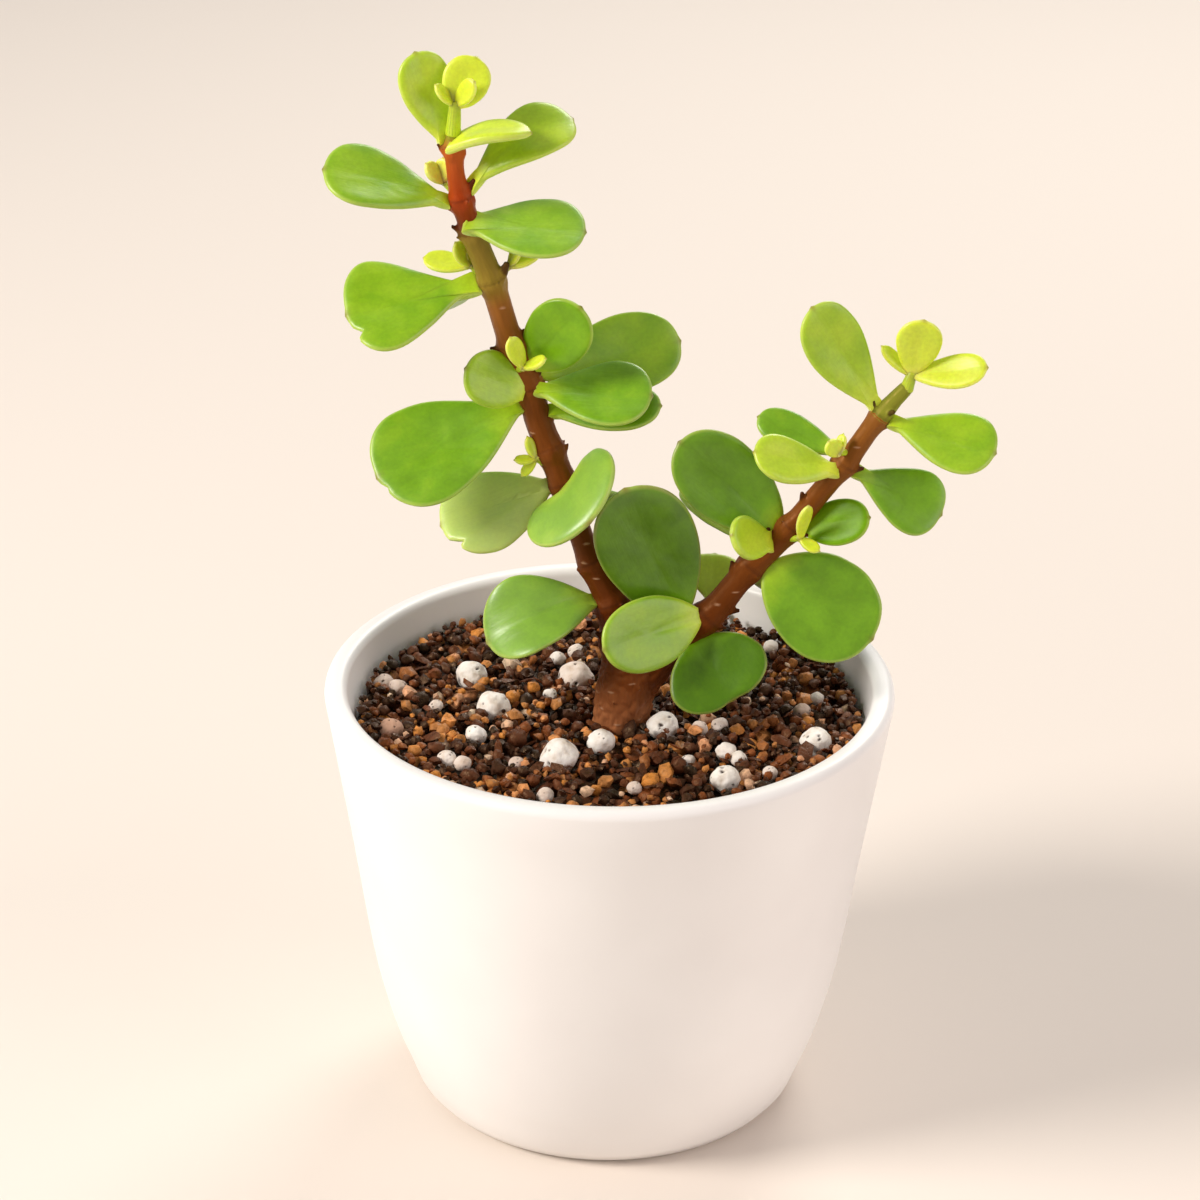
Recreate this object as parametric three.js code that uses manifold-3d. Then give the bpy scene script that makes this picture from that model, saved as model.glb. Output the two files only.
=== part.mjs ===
// Dwarf jade bonsai: a young forked plant in a small white glazed pot.
// Millimetres, +Z up. The origin is the centre of the pot's flat base.
// The plant's front faces -Y, and +X is to its right.
import * as THREE from 'three';
import { mergeVertices } from 'three/addons/utils/BufferGeometryUtils.js';
import Module from 'manifold-3d';

const wasm = await Module();
wasm.setup();

// Driving dimensions
const rimDiameter = 80;
const potHeight = 63.5;
const potWall = 3.2;
const potFloor = 4.2;
const lipRounding = 1.3;
const drainHoleRadius = 3;
const drainHoleRing = 13;
const drainHoleCount = 3;
const soilBelowRim = 5.5;
const seatGap = 0.3;
const soilSideGap = 0.45;
const trunkHoleRadius = 4.7;
const trunkFoot = [1.7, -1];
const rootEnd = 43;
const leafThickness = 1.7;
const leafRootDepth = 0.8;
const leafStalk = 1.05;
const youngStalk = 0.4;
const limbRingSpacing = 4;
const limbSides = { left: 10, right: 8 };

const glazeWhite = '#f2ece8';
const soilBrown = '#4a2f22';
const barkBrown = '#7a3a22';
const leafGreen = '#5f9a20';
const youngGreen = '#b4d234';

const rimRadius = rimDiameter / 2;
const soilLevel = potHeight - soilBelowRim;
const plant = new THREE.Group();

// Solids: closed meshes with shared vertices, and back to a geometry
function solidOf(geometry) {
  geometry.deleteAttribute('normal');
  geometry.deleteAttribute('uv');
  const merged = mergeVertices(geometry, 1e-4);
  const index = merged.getIndex().array;
  const triangles = [];
  for (let i = 0; i < index.length; i += 3) {
    const [a, b, c] = [index[i], index[i + 1], index[i + 2]];
    if (a !== b && b !== c && c !== a) triangles.push(a, b, c);
  }
  const vertices = new Float32Array(merged.getAttribute('position').array);
  return new wasm.Manifold(new wasm.Mesh({
    numProp: 3, vertProperties: vertices, triVerts: new Uint32Array(triangles),
  }));
}

function geometryOf(solid) {
  const mesh = solid.getMesh();
  const geometry = indexed(mesh.vertProperties, Array.from(mesh.triVerts));
  geometry.computeVertexNormals();
  return geometry;
}

function indexed(vertices, triangles) {
  const geometry = new THREE.BufferGeometry();
  geometry.setAttribute('position', new THREE.BufferAttribute(new Float32Array(vertices), 3));
  geometry.setIndex(triangles);
  return geometry;
}

function addPiece(name, solid, color, roughness) {
  const material = new THREE.MeshStandardMaterial({ color, roughness, metalness: 0 });
  const mesh = new THREE.Mesh(geometryOf(solid), material);
  mesh.name = name;
  plant.add(mesh);
}

function fuse(solids) {
  return solids.reduce((whole, piece) => whole.add(piece));
}

// A seeded sequence of numbers from 0 to 1
function seeded(seed) {
  let state = seed;
  return () => {
    state = (state * 1664525 + 1013904223) % 4294967296;
    return state / 4294967296;
  };
}

// Straight lines between [position, value] stops, for a radius along a height
function along(stops, at) {
  if (at <= stops[0][0]) return stops[0][1];
  for (let i = 1; i < stops.length; i++) {
    const [p0, v0] = stops[i - 1];
    const [p1, v1] = stops[i];
    if (at <= p1) return v0 + (v1 - v0) * (at - p0) / (p1 - p0);
  }
  return stops[stops.length - 1][1];
}

// A profile of (radius, height) points turned round the Z axis
function lathed(profile, sides) {
  const geometry = new THREE.LatheGeometry(profile, sides);
  geometry.rotateX(Math.PI / 2);
  return solidOf(geometry);
}

// A polar step in the plane, as [x, y]
function polar(radius, angle) {
  return [radius * Math.cos(angle), radius * Math.sin(angle)];
}

// The pot: a cup that tapers to a rounded foot, with a rounded lip and drain holes
const potSides = 40;
const footRadius = 24.8;
const cavityFootRadius = 21;
const cavityWallStart = 12;
const potSide = new THREE.SplineCurve([
  new THREE.Vector2(29.3, 6),
  new THREE.Vector2(30.8, 10),
  new THREE.Vector2(33.4, 20),
  new THREE.Vector2(36.5, 40),
  new THREE.Vector2(rimRadius, potHeight - lipRounding),
]);
const potSidePoints = potSide.getPoints(6);

// The cavity's wall from the floor up: [height, radius]
const cavity = [[potFloor, cavityFootRadius], [potFloor + 1.6, 24.2], [potFloor + 4, 26.2]];
for (const point of potSidePoints.filter((p) => p.y > cavityWallStart)) {
  cavity.push([point.y, point.x - potWall]);
}

// One rounded edge of the lip, through angles in degrees
function lipArc(centreRadius, turns) {
  return turns.map((turn) => {
    const [out, up] = polar(lipRounding, THREE.MathUtils.degToRad(turn));
    return new THREE.Vector2(centreRadius + out, potHeight - lipRounding + up);
  });
}

function makePot() {
  const outline = [new THREE.Vector2(0, 0), new THREE.Vector2(footRadius, 0)];
  const foot = new THREE.QuadraticBezierCurve(
    new THREE.Vector2(footRadius, 0), new THREE.Vector2(28.4, 1.2), potSidePoints[0]);
  outline.push(...foot.getPoints(3).slice(1));
  outline.push(...potSidePoints.slice(1));
  outline.push(...lipArc(rimRadius - lipRounding, [45, 90]));
  outline.push(...lipArc(rimRadius - potWall + lipRounding, [90, 135, 180]));
  for (const [height, radius] of cavity.slice(0, -1).reverse()) {
    outline.push(new THREE.Vector2(radius, height));
  }
  outline.push(new THREE.Vector2(0, potFloor));
  let pot = lathed(outline, potSides);
  for (let i = 0; i < drainHoleCount; i++) {
    const angle = Math.PI / 2 + 2 * Math.PI * i / drainHoleCount;
    const hole = new THREE.CylinderGeometry(drainHoleRadius, drainHoleRadius, 3 * potFloor, 12);
    hole.rotateX(Math.PI / 2);
    hole.translate(...polar(drainHoleRing, angle), potFloor / 2);
    pot = pot.subtract(solidOf(hole));
  }
  return pot;
}

// The soil: a filled core with a gritty top of grains, and white pumice lumps pressed into it
const grainRings = 14;
const grainSpacing = 3;
const grainHeight = 1.1;
const grainFoot = 0.4;
const slabThickness = 3;
const coreTop = soilLevel - 2;
const coreSides = 30;
const coreSideGap = soilSideGap + 0.1;
const slabSideGap = soilSideGap + 0.15;
const soilTopRadius = along(cavity, soilLevel) - soilSideGap;
// White pumice lumps on the soil: [x, y, radius]
const pumice = [
  [-32.5, 9.5, 1.9], [-19, 11, 2.3], [-15.5, 2, 2.3], [-4.8, 10, 2.4], [-7, 15.5, 1.6],
  [-28.5, -2.5, 1.7], [-18.5, -6, 1.6], [-21, -14.5, 1.7], [-7, -13.5, 2.6], [-1, -8.5, 2],
  [7.8, -4, 2.2], [13, -4.5, 1.8], [16.5, -13.5, 1.9], [15.5, -20, 2.2], [28.5, -9.5, 2.2],
  [24, 20, 1.7], [-14, 24, 1.6], [3, 27, 1.9], [12, 16, 1.8],
];

function grainCentres() {
  const random = seeded(11);
  const centres = [];
  const rows = Math.ceil(soilTopRadius / grainSpacing) + 1;
  for (let i = -rows; i <= rows; i++) {
    for (let j = -rows; j <= rows; j++) {
      const x = (i + 0.5 * (j % 2) + 0.6 * (random() - 0.5)) * grainSpacing;
      const y = (0.87 * j + 0.5 * (random() - 0.5)) * grainSpacing;
      centres.push([x, y, grainSpacing * (0.45 + 0.3 * random()), 0.5 + 0.5 * random()]);
    }
  }
  return centres;
}

function soilHeight(x, y, centres) {
  let bump = 0;
  for (const [cx, cy, radius, share] of centres) {
    const far = Math.hypot(x - cx, y - cy) / radius;
    if (far < 1) bump = Math.max(bump, share * Math.sqrt(1 - far * far));
  }
  return soilLevel - grainFoot + grainHeight * bump;
}

// The gritty slab: rings of points round the middle, each ring with six more than the last
function soilSlab() {
  const centres = grainCentres();
  const underside = soilLevel - slabThickness;
  const rim = along(cavity, soilLevel) - slabSideGap;
  const lowerRim = along(cavity, underside) - slabSideGap;
  const vertices = [0, 0, underside, 0, 0, soilHeight(0, 0, centres)];
  const triangles = [];
  const firstOf = (ring) => 2 + 3 * ring * (ring - 1);
  for (let ring = 1; ring <= grainRings; ring++) {
    const radius = rim * ring / grainRings;
    for (let i = 0; i < 6 * ring; i++) {
      const [x, y] = polar(radius, 2 * Math.PI * i / (6 * ring));
      vertices.push(x, y, soilHeight(x, y, centres));
    }
    for (let i = 0; i < 6 * ring; i++) {
      const out = firstOf(ring) + i;
      const outNext = firstOf(ring) + (i + 1) % (6 * ring);
      const inner = (k) => (ring === 1 ? 1 : firstOf(ring - 1) + k % (6 * (ring - 1)));
      const sector = Math.floor(i / ring);
      triangles.push(out, outNext, inner(i - sector));
      if (i % ring !== ring - 1) triangles.push(outNext, inner(i - sector + 1), inner(i - sector));
    }
  }
  const edge = firstOf(grainRings);
  const count = 6 * grainRings;
  const lower = vertices.length / 3;
  for (let i = 0; i < count; i++) {
    vertices.push(...polar(lowerRim, 2 * Math.PI * i / count), underside);
  }
  for (let i = 0; i < count; i++) {
    const next = (i + 1) % count;
    triangles.push(edge + i, lower + i, lower + next, edge + i, lower + next, edge + next);
    triangles.push(0, lower + next, lower + i);
  }
  return solidOf(indexed(vertices, triangles));
}

// The soil below the slab: the cavity's own profile, a gap smaller all round
function soilCore() {
  const bottom = potFloor + seatGap;
  const profile = [new THREE.Vector2(0, bottom)];
  for (const [height, radius] of cavity.filter(([h]) => h < coreTop - 4)) {
    profile.push(new THREE.Vector2(radius - coreSideGap, Math.max(height, bottom)));
  }
  profile.push(new THREE.Vector2(along(cavity, coreTop) - coreSideGap, coreTop));
  profile.push(new THREE.Vector2(0, coreTop));
  return lathed(profile, coreSides);
}

// A round lump with an uneven, slightly flattened surface, a quarter of its radius above the soil
function pumiceLump(x, y, radius, random) {
  const lump = new THREE.SphereGeometry(radius, 7, 4);
  lump.deleteAttribute('normal');
  lump.deleteAttribute('uv');
  const merged = mergeVertices(lump, 1e-4);
  const position = merged.getAttribute('position');
  const point = new THREE.Vector3();
  for (let i = 0; i < position.count; i++) {
    point.fromBufferAttribute(position, i).multiplyScalar(0.88 + 0.2 * random());
    position.setXYZ(i, point.x, point.y, 0.9 * point.z);
  }
  merged.translate(x, y, soilLevel + 0.25 * radius);
  return solidOf(merged);
}

function makeSoil() {
  const random = seeded(23);
  const lumps = pumice.map(([x, y, radius]) => pumiceLump(x, y, radius, random));
  const soil = fuse([soilSlab(), soilCore(), ...lumps]);
  const hole = new THREE.CylinderGeometry(trunkHoleRadius, trunkHoleRadius, soilLevel, 16);
  hole.rotateX(Math.PI / 2);
  hole.translate(trunkFoot[0], trunkFoot[1], rootEnd - seatGap + soilLevel / 2);
  return soil.subtract(solidOf(hole));
}

// The two limbs: the trunk runs on into the left stem, and the right branch leaves it at the fork.
// Each stop is [x, y, z, radius]. lean says how far the limb leans away from the front, as
// [height, depth]; what grows on it leans with it and drops a little, as a leaning stem does.
const dropWithLean = 0.4;
const nodeHalfHeight = 1.2;
const leftLimb = {
  lean: [[62, 0], [82, 1.5], [107, 4.5], [125, 4], [152, 1.5]],
  stops: [
    [1.4, -1, rootEnd, 1.6], [1.5, -1, 49, 3.2], [1.7, -1, 57.5, 4], [2.1, -1, 61.5, 4.1],
    [2.6, -0.8, 66, 4], [1.7, -0.5, 70.5, 3.1], [0.2, -0.2, 75.5, 2.4], [-2.8, 0.2, 81.5, 1.9],
    [-4.1, 0.5, 84.7, 1.65], [-7, 0.8, 93.3, 1.85], [-10.2, 0.8, 102, 1.95], [-11.6, 0.6, 107.3, 1.8],
    [-14.1, 0.3, 114, 1.7], [-16.5, 0, 122.3, 1.7], [-18.6, -0.3, 128.2, 1.6],
    [-20.5, -0.5, 134, 1.4], [-21.2, -0.45, 137.5, 1.2], [-21.4, -0.4, 140.6, 1.2],
    [-21.5, -0.3, 143.4, 0.85],
  ],
  nodes: [70.3, 75, 81, 92.5, 97.5, 106.8, 113.2, 122.4, 129.5, 134, 141],
  swelling: 0.45,
};
const rightLimb = {
  lean: [[66, 0], [75, -1], [97, -4], [118, -3]],
  stops: [
    [2.4, -0.9, 60.5, 2.6], [4.6, -0.9, 63.8, 2.7], [7.2, -0.7, 67.4, 2.5], [10.1, -0.5, 70.8, 2.2],
    [14, -0.1, 74, 2],
    [18.5, 0.4, 79.9, 1.75], [23.5, 0.8, 85.3, 1.6], [28.1, 1, 91.6, 1.5], [32, 1, 97, 1.45],
    [34.8, 0.8, 101.6, 1.35], [37.6, 0.5, 105.6, 1.15], [39.4, 0.3, 107.8, 1],
  ],
  nodes: [73.2, 80.6, 86.6, 96, 103.2],
  swelling: 0.4,
};

function leaned(limb, [x, y, z]) {
  const depth = along(limb.lean, z);
  return new THREE.Vector3(x, y + depth, z - dropWithLean * depth);
}

function limbRadius(limb, height) {
  const bare = along(limb.stops.map((stop) => [stop[2], stop[3]]), height);
  const swell = limb.nodes.map((node) => Math.exp(-(((height - node) / 1.1) ** 2)));
  return bare + limb.swelling * Math.max(0, ...swell);
}

// The leaned place and direction of a limb's centre line at a height, counted before it leans
function limbPoint(limb, height) {
  const curve = new THREE.CatmullRomCurve3(limb.stops.map(([x, y, z]) => new THREE.Vector3(x, y, z)));
  let [low, high] = [0, 1];
  for (let i = 0; i < 30; i++) {
    const middle = (low + high) / 2;
    if (curve.getPoint(middle).z < height) low = middle;
    else high = middle;
  }
  const place = (share) => leaned(limb, curve.getPoint(THREE.MathUtils.clamp(share, 0, 1)).toArray());
  const tangent = place(low + 0.01).sub(place(low - 0.01)).normalize();
  return { point: place(low), tangent };
}

// A round limb grown by a margin: a turned profile bent along the centre line
function limbSolid(limb, sides, margin) {
  const first = limb.stops[0][2];
  const last = limb.stops[limb.stops.length - 1][2];
  const heights = [];
  for (let h = first; h < last; h += limbRingSpacing) heights.push(h);
  for (const node of limb.nodes) heights.push(node - nodeHalfHeight, node, node + nodeHalfHeight);
  heights.sort((a, b) => a - b);
  const spaced = heights.filter((h, i) => i === 0 || h - heights[i - 1] > 0.5);
  const kept = [...spaced.filter((h) => last - h > 0.6), last];
  const profile = [new THREE.Vector2(0, 0)];
  kept.forEach((h, i) => profile.push(new THREE.Vector2(limbRadius(limb, h) + margin, i)));
  profile.push(new THREE.Vector2(0, kept.length - 1));
  const turned = new THREE.LatheGeometry(profile, sides);
  const position = turned.getAttribute('position');
  const places = kept.map((h) => limbPoint(limb, h));
  places[0].point.addScaledVector(places[0].tangent, -margin);
  places[places.length - 1].point.addScaledVector(places[places.length - 1].tangent, margin);
  for (let i = 0; i < position.count; i++) {
    const { point, tangent } = places[Math.round(position.getY(i))];
    const across = new THREE.Vector3(0, -1, 0).cross(tangent).normalize();
    const front = tangent.clone().cross(across);
    const place = point.clone()
      .addScaledVector(across, -position.getX(i))
      .addScaledVector(front, position.getZ(i));
    position.setXYZ(i, place.x, place.y, place.z);
  }
  return solidOf(turned);
}

// Where old leaves fell, each node keeps a pair of small pointed scars,
// turned a quarter of a turn from one node to the next
const scarRadius = 0.55;
const scarLength = 2;

function scarSolids(limb, margin) {
  const scars = [];
  limb.nodes.forEach((node, i) => {
    const { point, tangent } = limbPoint(limb, node);
    const radius = limbRadius(limb, node);
    const turn = i * Math.PI / 2 + 0.5;
    for (const side of [0, Math.PI]) {
      const level = new THREE.Vector3(Math.cos(turn + side), Math.sin(turn + side), 0);
      const out = level.addScaledVector(tangent, -level.dot(tangent)).normalize();
      const scar = new THREE.ConeGeometry(scarRadius + 1.7 * margin, scarLength + 3 * margin, 4);
      const aim = out.clone().addScaledVector(tangent, 0.6).normalize();
      scar.applyQuaternion(new THREE.Quaternion().setFromUnitVectors(new THREE.Vector3(0, 1, 0), aim));
      const seat = point.clone().addScaledVector(out, radius - 0.2);
      scar.translate(seat.x, seat.y, seat.z);
      scars.push(solidOf(scar));
    }
  });
  return scars;
}

// A leaf blade: thick and egg-shaped, widest past its middle, with a short stalk and a blunt tip.
// The blank lies along u from base (0) to tip (1), v is the share of the half width
// and w the share of the half thickness.
const bladeCentre = 0.56;
const bladeRings = [[1, 0], [0.92, 0.68], [0.6, 0.97]];
const shoulder = 0.46;

// The share of the half width at u: a wedge of a base, and a round shoulder to the tip
function halfOutline(u, wedge) {
  const widest = wedge / (wedge + shoulder);
  const peak = widest ** wedge * (1 - widest) ** shoulder;
  return u ** wedge * (1 - u) ** shoulder / peak;
}

// Rings of points from the sharp edge to the middle of each face. A notch dents the tip and
// the stalk keeps the base wide.
function bladeGeometry(place, { wedge, notch, stalk, width }, rimPoints) {
  const vertices = [];
  const triangles = [];
  const put = (u, v, w) => {
    const shifted = u - notch * Math.exp(-((v / 0.3) ** 2)) * u ** 6;
    vertices.push(...place(shifted, v, w).toArray());
    return vertices.length / 3 - 1;
  };
  const rim = (scale, level) => {
    const ring = [];
    for (let i = 0; i < rimPoints; i++) {
      const angle = 2 * Math.PI * i / rimPoints;
      const u = (1 - Math.cos(angle)) / 2;
      const stalkShare = stalk / (width / 2) * (1 - u) ** 6;
      const v = Math.sign(Math.sin(angle)) * Math.hypot(halfOutline(u, wedge), stalkShare);
      ring.push(put(bladeCentre + scale * (u - bladeCentre), scale * v, level));
    }
    return ring;
  };
  const edge = rim(...bladeRings[0]);
  for (const face of [1, -1]) {
    let outer = edge;
    for (const [scale, level] of bladeRings.slice(1)) {
      const inner = rim(scale, face * level);
      for (let i = 0; i < rimPoints; i++) {
        const j = (i + 1) % rimPoints;
        const quads = [[outer[i], outer[j], inner[j]], [outer[i], inner[j], inner[i]]];
        for (const [a, b, c] of quads) triangles.push(...(face > 0 ? [a, c, b] : [a, b, c]));
      }
      outer = inner;
    }
    const middle = put(bladeCentre, 0, face);
    for (let i = 0; i < rimPoints; i++) {
      const j = (i + 1) % rimPoints;
      triangles.push(...(face > 0 ? [outer[i], middle, outer[j]] : [outer[i], outer[j], middle]));
    }
  }
  return indexed(vertices, triangles);
}

// Puts a blade point in its place: base to tip is the chord, the face gives the upper side,
// curl lets the middle sag below the chord and fold lifts the two edges. Bow swings the two
// halves back round the base, as the lobes of a kidney. Hang bends down one side of the blade,
// beyond a ridge that runs out from the base: the slope of the ridge, then that of the side.
function bladePlace({ base, tip, width, face, curl, fold, bow, hang, thickness }) {
  const chord = tip.clone().sub(base);
  const length = chord.length();
  const ahead = chord.clone().normalize();
  const normal = new THREE.Vector3(...face);
  normal.addScaledVector(ahead, -normal.dot(ahead)).normalize();
  const side = normal.clone().cross(ahead);
  return (u, v, w) => {
    const along = length * u;
    const across = width / 2 * v;
    const swing = bow * v;
    const droop = hang[1] * Math.max(0, across - hang[0] * along);
    const lift = width / 2 * fold * Math.abs(v) ** 1.5 - length * curl * 4 * u * (1 - u);
    return base.clone()
      .addScaledVector(ahead, along * Math.cos(swing) - across * Math.sin(swing))
      .addScaledVector(side, along * Math.sin(swing) + across * Math.cos(swing))
      .addScaledVector(normal, lift - droop + thickness / 2 * w);
  };
}

// Leaves on the left stem and the right branch. at is the height of the seat on the limb,
// tip the place of the leaf's end, face the way that its upper side looks, and side the
// side of the limb that the stalk leaves, where that isn't the side towards the tip.
const leaves = [
  { name: 'leaf_left_01', on: 'left', at: 141.5, tip: [-26.5, 2, 153.2], width: 7.4,
    face: [0.35, -0.85, 0.3] },
  { name: 'leaf_left_02', on: 'left', at: 141.6, tip: [-11.2, -3.5, 144.3], width: 5.8,
    face: [-0.15, -0.1, 0.97], side: [-0.6, -1, 0], wedge: 0.42, curl: -0.08, stalk: 2 },
  { name: 'leaf_left_03', on: 'left', at: 135, tip: [-5.9, 4, 143.9], width: 8.6,
    face: [-0.25, -0.65, 0.7], curl: -0.16, wedge: 1.3 },
  { name: 'leaf_left_04', on: 'left', at: 134, tip: [-38.5, -3, 138.8], width: 10.5,
    face: [0, -0.5, 0.86], curl: -0.02, wedge: 1.15 },
  { name: 'leaf_left_05', on: 'left', at: 131.6, tip: [-4, -3, 130.6], width: 11,
    face: [0.05, -0.42, 0.9], side: [-0.5, -1, 0], wedge: 0.95, stalk: 1.5 },
  { name: 'leaf_left_06', on: 'left', at: 122.9, tip: [-35.9, -4, 118.8], width: 15,
    face: [0, -0.55, 0.83], wedge: 1.5 },
  { name: 'leaf_left_07', on: 'left', at: 109.8, tip: [-4.5, -3.5, 120.2], width: 9.2, face: [0, -0.9, 0.4],
    wedge: 0.6 },
  { name: 'leaf_left_08', on: 'left', at: 108, tip: [9.1, 9, 110.8], width: 11, face: [0, -0.85, 0.5],
    side: [0.6, 1, 0] },
  { name: 'leaf_left_09', on: 'left', at: 107.2, tip: [5.2, -3, 107.3], width: 11, face: [0, -0.5, 0.86],
    side: [0.5, -1, 0], wedge: 1.05 },
  { name: 'leaf_left_10', on: 'left', at: 103, tip: [6.5, -1.5, 105.3], width: 7, face: [0, -0.6, 0.8] },
  { name: 'leaf_left_11', on: 'left', at: 106.8, tip: [-20, -4, 111.4], width: 7.8, face: [0, -0.85, 0.5],
    side: [-0.4, -1, 0], wedge: 0.65 },
  { name: 'leaf_left_12', on: 'left', at: 104.8, tip: [-32, -5, 95.6], width: 15.2,
    face: [-0.1, -0.7, 0.7], wedge: 1.05 },
  { name: 'leaf_left_13', on: 'left', at: 93.2, tip: [-23.6, 0.5, 86.2], width: 12.2,
    face: [0, -0.5, 0.86], hang: [0.3, 0.6], wedge: 0.85 },
  { name: 'leaf_left_14', on: 'left', at: 92.4, tip: [-3, -11.2, 92.1], width: 9.4,
    face: [-0.66, -0.33, 0.68], side: [0.3, -1, 0], wedge: 0.42, bow: 0.74, curl: -0.04 },
  { name: 'leaf_left_15', on: 'left', at: 76.4, tip: [-17, -5, 71.1], width: 12,
    face: [0, -0.6, 0.8], curl: -0.15, fold: 0.3, wedge: 0.9 },
  { name: 'leaf_right_01', on: 'right', at: 71.4, tip: [1.7, -1.8, 93.3], width: 14,
    face: [0, -0.93, 0.36], wedge: 0.72, side: [-0.3, -0.2, 1] },
  { name: 'leaf_right_02', on: 'right', at: 73.3, tip: [-0.9, -10.5, 73], width: 10.2,
    face: [-0.1, -0.95, 0.3], wedge: 0.62 },
  { name: 'leaf_right_03', on: 'right', at: 71.6, tip: [17.5, -8, 63.8], width: 14.5, face: [0, -0.85, 0.5],
    wedge: 0.6, notch: 0.06 },
  { name: 'leaf_right_04', on: 'right', at: 74.5, tip: [14.5, 8, 79.2], width: 7.5, face: [0, -0.8, 0.6] },
  { name: 'leaf_right_05', on: 'right', at: 81.8, tip: [36, -6, 73], width: 14.5, face: [0, -0.92, 0.4],
    wedge: 0.62 },
  { name: 'leaf_right_06', on: 'right', at: 85.7, tip: [9, 3.5, 98], width: 11.3,
    face: [0, -0.9, 0.42], wedge: 0.6, side: [-0.6, 0.8, 0.6] },
  { name: 'leaf_right_07', on: 'right', at: 84.3, tip: [16.2, -5, 88], width: 6.2, face: [0, -0.8, 0.6],
    wedge: 0.7, stalk: 1.6 },
  { name: 'leaf_right_08', on: 'right', at: 87.3, tip: [35, -2, 89.6], width: 6.5, face: [0, -0.8, 0.6],
    wedge: 0.6, side: [0.8, 0.2, -0.6] },
  { name: 'leaf_right_09', on: 'right', at: 96.2, tip: [44.8, -1, 89.7], width: 9.2,
    face: [0.2, -0.85, 0.5], wedge: 1.25 },
  { name: 'leaf_right_10', on: 'right', at: 95.6, tip: [19, -3, 99.4], width: 7.2, face: [0, -0.6, 0.8],
    side: [-0.3, -1, 0] },
  { name: 'leaf_right_11', on: 'right', at: 96.8, tip: [19.8, 6.2, 100.8], width: 5.4,
    face: [0, -0.7, 0.7], side: [-0.6, 0.8, 0.4] },
  { name: 'leaf_right_12', on: 'right', at: 103.6, tip: [51.2, -4, 100.1], width: 9.5,
    face: [0, -0.6, 0.8], wedge: 1.15 },
  { name: 'leaf_right_13', on: 'right', at: 104, tip: [26.1, -2, 119.8], width: 8.6,
    face: [0.2, -0.85, 0.45], wedge: 0.95 },
  { name: 'leaf_back_01', on: 'left', at: 129.9, tip: [-9.5, 12, 124], width: 8.5, face: [0.2, 0.5, 0.85],
    side: [0.3, 1, 0] },
  { name: 'leaf_back_02', on: 'left', at: 123, tip: [-27, 10, 114.2], width: 7,
    face: [-0.2, 0.5, 0.85], wedge: 1.2 },
  { name: 'leaf_back_03', on: 'left', at: 106, tip: [-22, 12, 95.5], width: 9.5, face: [-0.2, 0.5, 0.85] },
  { name: 'leaf_back_04', on: 'left', at: 92, tip: [-1.5, 14, 84.5], width: 10, face: [0.1, 0.5, 0.85] },
  { name: 'leaf_back_05', on: 'right', at: 83.2, tip: [10.5, 12.5, 87.5], width: 10, face: [-0.2, 0.4, 0.9],
    side: [-0.3, 1, -0.3] },
  { name: 'leaf_back_06', on: 'right', at: 80.2, tip: [28.5, 13, 70.5], width: 9.5,
    face: [0.2, 0.5, 0.85] },
];

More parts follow.
